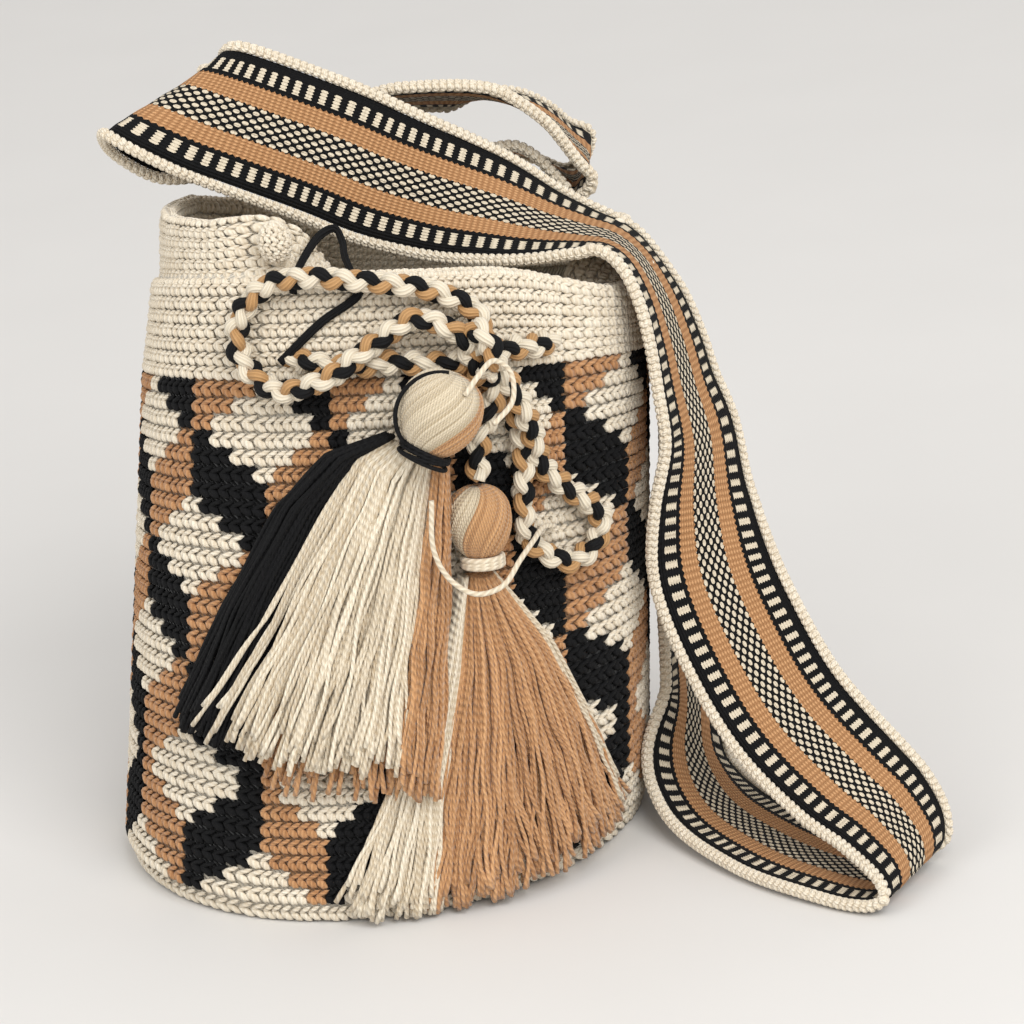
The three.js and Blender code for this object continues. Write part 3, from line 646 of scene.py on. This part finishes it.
def yarn_legs(name, centres, along, outward, halves, material, slot):
    """One piece made of many yarn legs. halves holds each leg's half length, width and depth."""
    mesh = bpy.data.meshes.new(name)
    mesh.from_pydata(centres.tolist(), [], [])
    for key, values in (("turn", turned_to(along, outward)), ("stretch", halves * MM)):
        layer = mesh.attributes.new(key, "FLOAT_VECTOR", "POINT")
        layer.data.foreach_set("vector", np.asarray(values, float).ravel())
    tone = mesh.attributes.new("tone", "FLOAT", "POINT")
    tone.data.foreach_set("value", [chance.random() for _ in range(len(centres))])
    piece = bpy.data.objects.new(name, mesh)
    bpy.context.collection.objects.link(piece)
    modifier = piece.modifiers.new("yarn", "NODES")
    modifier.node_group = LEGS
    for item in LEGS.interface.items_tree:
        if item.name == "Yarn":
            modifier[item.identifier] = material
    depsgraph = bpy.context.evaluated_depsgraph_get()
    made = bpy.data.meshes.new_from_object(
        piece.evaluated_get(depsgraph), preserve_all_data_layers=True, depsgraph=depsgraph)
    piece.modifiers.clear()
    piece.data = made
    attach(piece, "root")
    return piece


# Upper and lower leg of a stitch: reach along the row and rise, in stitches and rows, half width
# and half depth in mm, and where its middle lies along the stitch
STITCH_LEGS = ((1.25, 0.38, 1.1, 1.15, 0.62), (1.05, -0.4, 1.85, 1.4, 0.5))


def stitch_legs(surface, stitches, lift):
    """The two legs of each stitch on a surface. stitches holds step, level."""
    stitches = np.asarray(stitches, float)
    step, level = stitches[:, 0], stitches[:, 1]
    jitter = np.array([[chance.uniform(-1, 1) for _ in range(4)] for _ in step])
    here = azimuth_of(step)
    width = (azimuth_of(step + 0.5) - here) % 360
    centres, along, outward, halves = [], [], [], []
    for reach, rise, half_width, half_depth, mid in STITCH_LEGS:
        a = here + width * (mid + 0.08 * jitter[:, 0])
        b = level + 0.5 + rise * 0.5 + 0.04 * jitter[:, 1]
        p = surface(a, b, lift)
        right = surface(a + 0.5, b, lift) - surface(a - 0.5, b, lift)
        upward = surface(a, b + 0.25, lift) - surface(a, b - 0.25, lift)
        out = unit(np.cross(right, upward))
        lean = out * (0.35 + 0.2 * jitter[:, 2:3]) * MM
        leg = right * (reach * width)[:, None] + upward * 2 * rise + lean
        length = np.linalg.norm(leg, axis=1) / MM
        centres.append(p)
        along.append(leg)
        outward.append(out)
        thick = 1 + 0.12 * jitter[:, 3]
        halves.append(np.stack([length * 0.62, half_width * thick, half_depth * thick], -1))
    return [np.vstack(v) for v in (centres, along, outward, halves)]


def over_rim(azimuth, share, lift):
    """From the outside of the cuff's rim over to its inside."""
    turn = share * math.pi
    rise = CUFF_HEIGHT + np.sin(turn) * (1.4 + lift)
    return on_cuff(azimuth, rise, -FABRIC / 2 + np.cos(turn) * (FABRIC / 2 + lift))


def over_step(azimuth, share, lift):
    """The narrow shelf where the cuff steps in from the neck."""
    low = on_bag(azimuth, FOLD_LEVEL - 0.12, lift)
    high = on_cuff(azimuth, 0.8, lift)
    share = np.reshape(np.asarray(share, float), (-1, 1))
    return low * (1 - share) + high * share


def in_cuff(azimuth, level, lift):
    """The inside of the cuff, counted in its rows."""
    return on_cuff(azimuth, level * CUFF_ROW, -FABRIC - lift)


def make_stitches():
    """All the stitches: the pattern in three yarns, then the cream rows."""
    rows = {"cream": [], "tan": [], "black": []}
    for level in range(1, 1 + PATTERN_ROWS):
        row = PATTERN_ROWS - level
        for i in range(STITCHES):
            rows[colour_of(row, i / 2 + 0.25)].append((i / 2, level))
    for colour, stitches in rows.items():
        legs = stitch_legs(on_bag, stitches, 0.75)
        yarn_legs(f"wall_{colour}_stitches", *legs, YARNS[colour], "crochet_cotton")
    for name, surface, levels, lift in (
        ("neck_and_cuff_stitches", on_bag, range(NECK_LEVEL, RIM_LEVEL), 0.6),
        ("rim_stitches", over_rim, [0], 0.5),
        ("fold_stitches", over_step, [0], 0.5),
        ("inner_cuff_stitches", in_cuff, [row + 0.35 for row in range(CUFF_ROWS)], 0.4),
        ("base_row_stitches", on_bag, [0], 0.4),
    ):
        stitches = [(i / 2, level) for level in levels for i in range(STITCHES)]
        legs = stitch_legs(surface, stitches, lift)
        yarn_legs(name, *legs, YARNS["cream"], "crochet_cotton")


def close_poles(piece):
    """Joins the points of a ring that has shrunk to the middle of the base."""
    shape = bmesh.new()
    shape.from_mesh(piece.data)
    bmesh.ops.remove_doubles(shape, verts=shape.verts, dist=1e-6)
    shape.to_mesh(piece.data)
    shape.free()


UNDERSIDE = 0.4
INSIDE_FLOOR, INSIDE_TOP, INSIDE_RINGS = 5, 232, 29
# The wall's UV map counts rows of fabric: the base takes this many before the wall starts
BASE_ROWS = 18


def make_wall():
    """The fabric behind the stitches, inside and out, and the base."""
    azimuth = azimuth_of(np.arange(STITCHES) / 2)
    after = RIM_LEVEL + BASE_ROWS
    rings, levels = [], []

    def ring(points, level):
        """Adds a ring of points, and its place in the count of rows."""
        rings.append(points)
        levels.append(level)

    for share in (0.0, 0.25, 0.5, 0.75, 0.95):
        edge = on_wall(azimuth, 0) * share
        edge[:, 2] = UNDERSIDE * MM
        ring(edge, share * (BASE_ROWS - 1))
    ring(on_wall(azimuth, 1.2, -0.6), BASE_ROWS - 0.6)
    ring(on_bag(azimuth, 0.45, -0.3), BASE_ROWS - 0.2)
    for level in range(1, RIM_LEVEL + 1):
        ring(on_bag(azimuth, level, -0.5), level + BASE_ROWS)
    top = len(rings) - 1
    ring(on_cuff(azimuth, CUFF_HEIGHT, -FABRIC * 0.6), after + 1)
    for row in range(CUFF_ROWS - 1, -1, -1):
        ring(on_cuff(azimuth, row * CUFF_ROW, -FABRIC), after + 6 - row)
    for k in range(1, INSIDE_RINGS + 1):
        height = max(INSIDE_TOP - k * 7.8, INSIDE_FLOOR)
        ring(on_wall(azimuth, height, -FABRIC), after + 7 + k)
    for share in (0.75, 0.5, 0.25, 0.0):
        edge = on_wall(azimuth, INSIDE_FLOOR, -FABRIC) * share
        edge[:, 2] = INSIDE_FLOOR * MM
        ring(edge, after + 42 - share * 16)
    names = ["cream", "tan", "black"]
    faces, uvs, slots = [], [], []
    for r in range(len(rings) - 1):
        low, high = levels[r], levels[r + 1]
        level = low - BASE_ROWS
        patterned = 1 <= level < NECK_LEVEL and r < top
        a, b = r * STITCHES, (r + 1) * STITCHES
        for i in range(STITCHES):
            j = (i + 1) % STITCHES
            faces.append((a + i, a + j, b + j, b + i))
            uvs.append(((i, low), (i + 1, low), (i + 1, high), (i, high)))
            colour = colour_of(PATTERN_ROWS - level, i / 2 + 0.25) if patterned else "cream"
            slots.append(names.index(colour))
    maker = MeshMaker()
    maker.add(np.vstack(rings), faces, uvs, slots)
    # The cream and tan backings are darker than their yarns as painted shade, for the gaps between
    # stitches and the inside of the bag; the black backing takes the darker black
    materials = [
        backing("cream_backing", darker(CREAM, 0.8)),
        backing("tan_backing", darker(TAN, 0.6)),
        backing("black_backing", BLACK_DEEP),
    ]
    wall = maker.finish("crocheted_wall", materials)
    close_poles(wall)
    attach(wall, "root")
    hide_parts("bag_body")


make_wall()
make_stitches()


# Tassels. A fan of strands has its left and right edge as azimuth and height, how far back its
# strands lie from the wall, its depth, the number of strands and how ragged its ends are.
HEADS = {
    1: dict(azimuth=5.5, height=199.5, standoff=30.6, radius=16.5, half_length=17, tilt=28),
    2: dict(azimuth=14.5, height=153, standoff=14.6, radius=13, half_length=15, tilt=2),
}
BUNDLES = {
    "tassel_1_black_strands": dict(yarn=BLACK_SPUN, slot="black_yarn", fans=[
        dict(left=[(-3.4, 190), (-15, 182), (-26, 162), (-41, 120), (-53, 80)],
             right=[(-2, 189), (-7, 181), (-15, 160), (-26, 118), (-34, 76)],
             back=[15, 10, 5, 2.3, 2.3], depth=7, strands=84),
    ]),
    "tassel_1_cream_strands": dict(yarn=CREAM_SPUN, slot="cream_yarn", fans=[
        dict(left=[(-1.6, 187), (-7, 180), (-12, 160), (-22, 120), (-32, 81)],
             right=[(5, 180), (4.4, 168), (3, 148), (1, 110), (-1.5, 74)],
             back=[15.5, 15.5, 15, 13, 13], depth=10, strands=175, ragged=12),
        dict(left=[(-3, 189), (-9, 181), (-16, 160), (-29, 120), (-45, 84)],
             right=[(-2, 187), (-7, 180), (-12, 160), (-22, 118), (-32, 80)],
             back=[15, 13, 11, 8, 8], depth=4, strands=11, ragged=12),
    ]),
    "tassel_1_tan_strands": dict(yarn=TAN_SPUN, slot="tan_yarn", fans=[
        dict(left=[(5.3, 179.6), (3.3, 150), (1.3, 110), (-1.2, 62)],
             right=[(8, 178), (8.5, 150), (8, 105), (6.5, 57)],
             back=[15.5, 15.5, 13, 13], depth=9, strands=46),
        dict(left=[(-0.5, 184), (-9, 158), (-20, 112), (-28, 63)],
             right=[(5, 180), (3, 150), (1, 108), (-1, 56)],
             back=[12, 9, 6, 5.5], depth=7, strands=60),
    ]),
    "tassel_2_cream_strands": dict(yarn=CREAM_SPUN, slot="cream_yarn", fans=[
        dict(left=[(11.6, 132), (6, 95), (-3, 50), (-11, 15)],
             right=[(13, 132), (12, 95), (9, 50), (8, 5)],
             back=[5, 3.2, 3.2, 3.2], depth=7, strands=80, ragged=10),
        dict(left=[(17.5, 132), (30, 102), (42, 62), (52, 30)],
             right=[(18.5, 132), (33, 99), (45, 61), (55, 26)],
             back=[5, 3.2, 3.2, 3.2], depth=5, strands=6, ragged=12),
    ]),
    "tassel_2_tan_strands": dict(yarn=TAN_SPUN, slot="tan_yarn", fans=[
        dict(left=[(13, 132), (11.5, 95), (7.5, 50), (4.5, 7)],
             right=[(18, 132), (32, 98), (44, 60), (54, 20)],
             back=[5, 3.2, 3.2, 3.2], depth=10, strands=210),
    ]),
}


def beside(head, across, forth, rise):
    """Points in metres at these distances in mm from the middle of a head, along its axes."""
    tilt = math.radians(head["tilt"])
    up = unit(np.array([math.sin(tilt), 0.12, math.cos(tilt)]))
    side = unit(np.cross([0, 1, 0], up))
    axes = np.array([side, np.cross(up, side), up])
    centre = on_wall(head["azimuth"], head["height"], head["standoff"])
    return centre + np.stack(together(across, forth, rise), -1) * MM @ axes


HEAD_DRIFT = 0.7
WINDING_GAP, WINDING_HALF = 1.15, 0.72
STRAND_RADIUS, KNOB_RADIUS = 0.86, 1.1
LOWEST = 2.2


def make_head(number, light, dark, turn_from, turn_to):
    """A ball of yarn wound from crown to foot; the windings from turn_from to turn_to are dark."""
    head = HEADS[number]
    maker = MeshMaker()
    windings = int(TWO_PI * head["radius"] / WINDING_GAP)
    angle = np.linspace(0.06, math.pi - 0.06, 22)
    level = head["half_length"] * np.cos(angle)
    full = head["radius"] * np.sin(angle) ** 0.8 * (1 + 0.12 * np.cos(angle))
    for i in range(windings):
        turn = TWO_PI * i / windings
        radius = np.maximum(full - chance.uniform(0.3, 1.1), 0.3)
        drift = turn + HEAD_DRIFT * np.cos(angle)
        path = beside(head, np.cos(drift) * radius, np.sin(drift) * radius, level)
        slot = 1 if turn_from < math.degrees(turn) % 360 < turn_to else 0
        maker.tube(path, WINDING_HALF * MM, 6, slot, 0.1 + 0.9 * chance.random())
    piece = maker.finish(f"tassel_{number}_wound_head", [light, dark])
    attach(piece, "root")
    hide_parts(f"tassel_{number}_head")


def make_tie(number, yarn, thick, lifts, slant):
    """Turns of yarn round the neck, and on tassel 1 a thread up the left of its head."""
    head = HEADS[number]
    neck = head["half_length"] * 0.85 + 1.6
    reach = head["radius"] * 0.62
    maker = MeshMaker()
    for lift in lifts:
        turn = np.linspace(0, TWO_PI, 49)
        across = np.cos(turn) * reach
        tip = slant * chance.uniform(-1, 1)
        ring = beside(head, across, np.sin(turn) * reach, tip * across - lift - neck)
        maker.tube(ring, thick * MM, 8)
    if number == 1:
        turn = np.radians(np.linspace(-68, 80, 26))
        across = -np.cos(turn) * (head["radius"] + 1.6)
        loop = beside(head, across, -4, np.sin(turn) * (head["half_length"] + 0.8))
        maker.tube(loop, 0.9 * MM, 8)
    tie = maker.finish(f"tassel_{number}_neck_tie", [yarn])
    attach(tie, "root")
    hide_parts(f"tassel_{number}_tie")


def make_strands(name, bundle):
    """Loose strands that fan from the tie, with small knobs at their cut ends."""
    maker = MeshMaker()
    for fan in bundle["fans"]:
        for k in range(fan["strands"]):
            lay_strand(maker, fan, (k + 0.5) / fan["strands"])
    piece = maker.finish(name + "_yarn", [bundle["yarn"]])
    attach(piece, "root")
    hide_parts(name)


def lay_strand(maker, fan, u):
    """One strand, u of the way from the fan's left edge to its right, a little wavy."""
    last = len(fan["left"]) - 1
    u += chance.uniform(-0.04, 0.04)
    layer = chance.random()
    drift = chance.uniform(-0.09, 0.09)
    wave, phase = chance.uniform(-0.04, 0.04), chance.uniform(0, TWO_PI)
    reach = 1 / max(fan["right"][-1][0] - fan["left"][-1][0], 8)
    drop = chance.uniform(-fan.get("ragged", 8), 5)
    stops = []
    for step in range(5 * last + 1):
        share = step / (5 * last)
        row = min(int(share * last), last - 1)
        t = share * last - row
        left, right = (np.array(fan[key][row]) * (1 - t) + np.array(fan[key][row + 1]) * t
                       for key in ("left", "right"))
        across = u + drift * share * share + wave * math.sin(9 * share + phase) * share
        across += 0.45 * reach * math.sin(23 * share + 3 * phase) * min(share * 2, 1)
        crown = max(math.sin(math.pi * min(max(across, 0.04), 0.96)), 0.1) ** 0.5
        back = fan["back"][row] * (1 - t) + fan["back"][row + 1] * t
        lift = back + 0.9 + (fan["depth"] - 1.4) * crown * (0.2 + 0.8 * layer)
        azimuth, height = left * (1 - across) + right * across
        height += drop * share ** 4
        stops.append(on_wall(azimuth, max(height, LOWEST), lift))
    path = even_path(stops, 4.6 * MM)
    radius = np.full(len(path), STRAND_RADIUS * MM)
    radius[-2:] = KNOB_RADIUS * MM
    maker.tube(path, radius, 6, 0, 0.1 + 0.8 * chance.random())


make_head(1, CREAM_WOUND, TAN_WOUND, 300, 359)
make_head(2, TAN_WOUND, CREAM_WOUND, 175, 240)
make_tie(1, BLACK_SPUN, 0.85, (-0.8, 0.5, 1.9, 3.4), 0.16)
make_tie(2, CREAM_SPUN, 1.3, (0.0, 1.6, 2.8), 0.03)
for bundle_name, bundle_sizes in BUNDLES.items():
    make_strands(bundle_name, bundle_sizes)


# Carrying strap. Stations are the centre in mm and the direction across from the near edge.
STRAP_WIDTH = 58
BAND_HALF = 24.5
BAND_THICKNESS = 2.4
EDGING = 5
# How much wider the strap lies where it is stretched flat over the mouth
STRAP_SPREAD = 0.1
STRAP_STATIONS = [
    ((136.7, 16, 234), (0, 1, 0.02)), ((137.3, 15, 218), (0.02, 1, 0.02)),
    ((139, 11, 190), (0.06, 1, 0)), ((138, 6, 140), (0.18, 0.97, -0.05)),
    ((136, 2, 95), (0.33, 0.92, -0.15)), ((136, -2, 64), (0.4, 0.88, -0.22)),
    ((136, -8, 38), (0.49, 0.82, -0.22)), ((133, -25, 19), (0.56, 0.81, -0.12)),
    ((138, -52, 8), (0.58, 0.81, -0.04)), ((157, -92, 4), (0.56, 0.83, 0)),
    ((177, -121, 3.6), (0.58, 0.81, 0)), ((198, -141, 3.8), (0.59, 0.8, 0.02)),
    ((208, -147, 8), (0.6, 0.79, 0.05)), ((209, -144, 16), (0.64, 0.75, 0.12)),
    ((201, -126, 27), (0.76, 0.6, 0.24)), ((190, -112, 36), (0.8, 0.45, 0.38)),
    ((170, -86, 57), (0.8, 0.32, 0.5)), ((157, -64, 82), (0.82, 0.28, 0.5)),
    ((148, -48, 111), (0.9, 0.32, 0.28)), ((147, -40, 137), (0.8, 0.57, 0.15)),
    ((149, -34, 165), (0.64, 0.77, -0.07)), ((146, -31, 186), (0.53, 0.82, -0.22)),
    ((143, -28, 208), (0.47, 0.84, -0.26)), ((138, -24, 229), (0.4, 0.88, -0.25)),
    ((131, -18, 243), (0.34, 0.91, -0.2)), ((122, -12, 250), (0.3, 0.95, -0.08)),
    ((111, -8, 253), (0.33, 0.94, 0.04)), ((97, -4, 257), (0.33, 0.91, 0.24)),
    ((77, 0, 265), (0.39, 0.74, 0.55)), ((54, 4, 274), (0.41, 0.43, 0.81)),
    ((31, 6, 285), (0.38, 0.31, 0.87)), ((11, 6, 297), (0.39, 0.31, 0.87)),
    ((-11, 6, 309), (0.45, 0.3, 0.84)), ((-31, 8, 319), (0.57, 0.27, 0.78)),
    ((-48, 11, 327), (0.78, 0.3, 0.54)), ((-54, 18, 326), (0.9, 0.29, 0.34)),
    ((-54.4, 30, 319), (0.88, 0.2, 0.47)), ((-45, 42, 307), (0.72, 0.6, 0.36)),
    ((-22, 50, 307), (0.25, 0.8, 0.45)), ((12, 55, 305), (0.1, 0.93, 0)),
    ((44, 51, 304), (0.05, 0.9, -0.4)), ((68, 49, 302), (0.03, 0.9, -0.42)),
    ((86, 53, 297), (0.1, 0.96, -0.27)), ((103, 59, 286), (0.14, 0.98, -0.17)),
    ((115, 63, 272), (0.14, 0.98, -0.14)), ((121, 66, 261), (0.12, 0.98, -0.1)),
    ((115, 68, 253), (0.02, 0.99, -0.05)), ((104, 70, 260), (-0.05, 0.98, -0.15)),
    ((91, 72, 269), (-0.03, 0.95, -0.3)), ((76, 74, 269), (0, 0.95, -0.3)),
    ((60, 80, 266), (0, 0.97, -0.2)),
]


def strap_frames():
    """Path, tangent, half-width direction and outward direction along the strap. At its two
    slanting folds the width isn't square to the path."""
    centres = np.array([c for c, _ in STRAP_STATIONS]) * MM
    across = unit(np.array([a for _, a in STRAP_STATIONS], float))
    gaps = np.linalg.norm(np.diff(centres, axis=0), axis=1)
    steps = [max(4, int(round(g / (2.8 * MM)))) for g in gaps]
    path = along_curve(centres, steps)
    tangent = directions(path)
    width = along_curve(across, steps)
    station = np.concatenate([i + np.arange(n) / n for i, n in enumerate(steps)] + [[len(steps)]])
    slanted = hump(station, 30.5, 32.5, 36, 38) + hump(station, 9, 11, 14, 16)
    spread = 1 + STRAP_SPREAD * hump(station, 28.5, 30.5, 36.3, 37.6)
    square = (width * tangent).sum(-1) * (1 - slanted)
    width = unit(width - tangent * square[:, None])
    return path, tangent, width * spread[:, None], unit(np.cross(tangent, width))


OVAL_ACROSS, OVAL_ALONG = 3.15, 5.4


def oval(u, v):
    """1 inside the white ovals of the strap's middle."""
    a = (u / OVAL_ACROSS + 0.25).part() - 0.5
    b = (v / OVAL_ALONG).part() - 0.5
    return (a * a * 17.0 + b * b * 14.0).below(1.0)


# Half widths of the strap's stripes, and the pitch and half sizes of its details, in mm
DOTS_HALF, TAN_HALF = 6.3, 13.7
DASH_MIDDLE, DASH_HALF_WIDTH, DASH_HALF_LENGTH = 18.3, 2.7, 1.35
DASH_PITCH, RIB_PITCH, WARP_PITCH = 5.8, 2.6, 1.25


def woven_strap():
    """Stripes of the strap from its UV map, which counts millimetres across and along."""
    shade = Shade("woven_strap")
    u, v = shade.uv()
    side = u.size()
    tooth = ((v / RIB_PITCH).part() - 0.5).size() * 1.7 - 0.42
    in_dots = (side + tooth).below(DOTS_HALF)
    in_tan = (side + tooth).below(TAN_HALF)
    dot = oval(u, v).at_least(oval(u + OVAL_ACROSS / 2, v + OVAL_ALONG / 2))
    bar = ((v / DASH_PITCH).part() - 0.5).size() * DASH_PITCH
    bead = (side / 1.15 * TWO_PI).wave() * 0.28
    in_row = (side - DASH_MIDDLE).size().below(DASH_HALF_WIDTH)
    dash = (bar + bead).below(DASH_HALF_LENGTH) * in_row
    rib = (v / RIB_PITCH * TWO_PI).wave() * 0.5 + 0.5
    warp = (u / WARP_PITCH * TWO_PI).wave() * 0.5 + 0.5
    fibre = shade.noise(2400, 4)
    white = shade.mix(fibre, linear(200, 184, 156), linear(232, 221, 200))
    black = shade.mix(fibre, BLACK_DEEP, BLACK)
    # Painted shade: the tan darkens where rib and warp dip, in the hollows of the weave, mixed with
    # random fibre noise
    tan = shade.mix((rib * warp * 1.1 + fibre * 0.5).at_most(1.0), linear(146, 100, 62), STRAP_TAN)
    dots = shade.mix(dot, black, white)
    dashes = shade.mix(dash, black, white)
    colour = shade.mix(in_dots, shade.mix(in_tan, dashes, tan), dots)
    height = rib * 0.6 + warp * 0.5 + dot * in_dots * 0.7 + dash * 0.8 + fibre * 0.3
    return shade.finish(colour, shade.bump(height, 0.0009, 0.9), 0.85, 0.0)


def make_strap():
    """The woven band, and the rope with its stitches along each edge."""
    path, _, width, out = strap_frames()
    run = run_along(path) / MM
    columns = np.linspace(-BAND_HALF, BAND_HALF, 15)
    crown = BAND_THICKNESS / 2 * (0.78 + 0.22 * np.cos(columns / BAND_HALF * math.pi * 2) ** 2)
    crown[[0, -1]] = 0.5
    front = list(zip(columns, crown))
    section = front + [(c, -h) for c, h in front[::-1]]
    n = len(section)
    rings = np.stack([path + width * c * MM + out * h * MM for c, h in section], 1)
    faces, uvs = [], []
    for i in range(len(path) - 1):
        for k in range(n):
            j = (k + 1) % n
            faces.append((i * n + k, (i + 1) * n + k, (i + 1) * n + j, i * n + j))
            ck, cj = section[k][0], section[j][0]
            uvs.append(((ck, run[i]), (ck, run[i + 1]), (cj, run[i + 1]), (cj, run[i])))
    for ring, order in ((0, 1), (len(path) - 1, -1)):
        faces.append(tuple(ring * n + k for k in range(n))[::order])
        uvs.append(tuple((section[k][0], run[ring]) for k in range(n)))
    maker = MeshMaker()
    maker.add(rings.reshape(-1, 3), faces, uvs)
    band = maker.finish("woven_strap_band", [woven_strap()])
    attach(band, "root")
    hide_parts("strap_band")
    for edge_name, node, way in (("near", "strap_near_edging", -1), ("far", "strap_far_edging", 1)):
        centre = path + width * (way * (STRAP_WIDTH - EDGING) / 2 * MM)
        maker = MeshMaker()
        maker.tube(centre, 1.9 * MM, 8)
        core = maker.finish(f"{edge_name}_edging_core", [CREAM_SPUN])
        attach(core, "root")
        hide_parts(node)
        edging_stitches(edge_name, centre, way)


def edging_stitches(name, centre, way):
    """Slanted yarn legs round an edging rope, six to each stitch."""
    spaced = even_path(centre[::3], 3.1 * MM)
    width = strap_frames()[2]
    near = [int(np.argmin(((centre - p) ** 2).sum(1))) for p in spaced]
    tangent = directions(spaced)
    side = unit(width[near] * way)
    side = unit(side - tangent * (side * tangent).sum(-1, keepdims=True))
    up = np.cross(tangent, side)
    centres, along, outward, halves = [], [], [], []
    for angle, skew in ((25, 1), (75, -1), (125, 1), (-25, -1), (-75, 1), (-125, -1)):
        a = math.radians(angle)
        radial = side * math.cos(a) + up * math.sin(a)
        around = up * math.cos(a) - side * math.sin(a)
        centres.append(spaced + radial * 1.75 * MM)
        along.append(tangent * 2.3 + around * 1.3 * skew)
        outward.append(radial)
        halves.append(np.tile([2.1, 1.15, 1.0], (len(spaced), 1)))
    joined = [np.vstack(v) for v in (centres, along, outward, halves)]
    return yarn_legs(f"{name}_edging_stitches", *joined, YARNS["cream"], "cream_yarn")


make_strap()


# Lace and nub at the mouth
LACE_HALF_WIDTH = 1.8
LACE_FLATNESS = 0.75 / LACE_HALF_WIDTH
LACE_LIFT = 3.8
NUB_RADIUS, NUB_HALF_HEIGHT = 5.9, 8.2


def make_lace():
    """The flat lace, up the neck, over the fold and the rim, and down again inside the bow."""
    lift = LACE_LIFT
    stops = [
        on_wall(-27, CORD_HEIGHT, lift), on_wall(-18, 227, lift), on_wall(-9.5, 237.5, lift),
        on_wall(-10.5, FOLD_HEIGHT, lift + 0.6), on_wall(-14, FOLD_HEIGHT + 5.9, -7.4),
        on_wall(-16, FOLD_HEIGHT + 9.6, -15.7), on_wall(-19, FOLD_HEIGHT + 12.6, -20.7),
        on_wall(-22, FOLD_HEIGHT + 11.8, -16.3), on_wall(-24, FOLD_HEIGHT + 7.1, -7.2),
        on_wall(-24.5, FOLD_HEIGHT, lift + 0.6), on_wall(-24.5, FOLD_HEIGHT - 4, lift),
    ]
    path = even_path(np.array(stops), 1.5 * MM)
    tangent = directions(path)
    axis = on_wall(0, FOLD_HEIGHT, -88)
    away = path - axis
    away[:, 2] = 0
    width = unit(np.cross(tangent, unit(away)))
    out = np.cross(tangent, width)
    maker = MeshMaker()
    maker.rings(path, width, out * LACE_FLATNESS, LACE_HALF_WIDTH * MM, 8)
    lace = maker.finish("flat_lace", [BLACK_LACE])
    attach(lace, "root")
    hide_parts("mouth_lace")


def make_nub():
    """A small ball of crochet: yarn legs in rings, close enough to hide its inside."""
    centre = on_wall(-31, FOLD_HEIGHT + 13.2, -2.4)
    points, along, outward = [], [], []
    for ring in range(7):
        tilt = math.pi * (ring + 0.5) / 7
        count = max(4, int(round(13 * math.sin(tilt))))
        for k in range(count):
            turn = TWO_PI * (k + 0.5 * (ring % 2)) / count
            round_ = np.array([-math.sin(turn), math.cos(turn), 0])
            level = np.array([math.cos(turn), math.sin(turn), 0])
            out = level * math.sin(tilt) + np.array([0, 0, math.cos(tilt)])
            down = np.cross(round_, out)
            for skew in (1, -1):
                reach = out * (NUB_RADIUS, NUB_RADIUS, NUB_HALF_HEIGHT)
                points.append(centre + (reach + down * skew * 0.8) * MM)
                along.append(round_ + down * 0.7 * skew)
                outward.append(out)
    halves = np.tile([2.3, 1.1, 1.2], (len(points), 1))
    nub = yarn_legs("crocheted_nub", np.array(points), np.array(along), np.array(outward), halves,
                    YARNS["cream"], "crochet_cotton")
    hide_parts("mouth_nub")


make_lace()
make_nub()


# Floor and light, in metres and watts
FLOOR_HALF = 6.0
LAMPS = (("window", (1.2, -2.6, 2.6), 98, 2.2), ("fill", (-1.9, -1.7, 1.8), 16, 1.6))


def make_studio():
    """A plain pale floor, an even sky and two large soft lamps."""
    floor_shade = Shade("pale_floor")
    grain = floor_shade.noise(9, 2)
    floor_shade.finish(floor_shade.mix(grain, linear(213, 211, 208), linear(217, 215, 212)),
                       floor_shade.bump(grain, 0.0005, 0.1), 0.7, 0.0)
    mesh = bpy.data.meshes.new("floor")
    corners = [(x * FLOOR_HALF, y * FLOOR_HALF, 0) for x, y in ((-1, -1), (1, -1), (1, 1), (-1, 1))]
    mesh.from_pydata(corners, [], [(0, 1, 2, 3)])
    mesh.materials.append(floor_shade.material)
    floor = bpy.data.objects.new("floor", mesh)
    floor.location.z = -0.0004
    bpy.context.collection.objects.link(floor)
    world = bpy.data.worlds.new("studio")
    world.use_nodes = True
    back = world.node_tree.nodes["Background"]
    back.inputs["Color"].default_value = (1.0, 0.99, 0.98, 1)
    back.inputs["Strength"].default_value = 0.8
    bpy.context.scene.world = world
    for name, place, power, width in LAMPS:
        light = bpy.data.lights.new(name, "AREA")
        light.energy = power
        light.size = width
        lamp = bpy.data.objects.new(name, light)
        lamp.location = place
        aim = Vector((0.04, 0, 0.12)) - Vector(place)
        lamp.rotation_euler = aim.to_track_quat("-Z", "Y").to_euler()
        bpy.context.collection.objects.link(lamp)
    bpy.context.scene.view_settings.view_transform = "Standard"


make_studio()
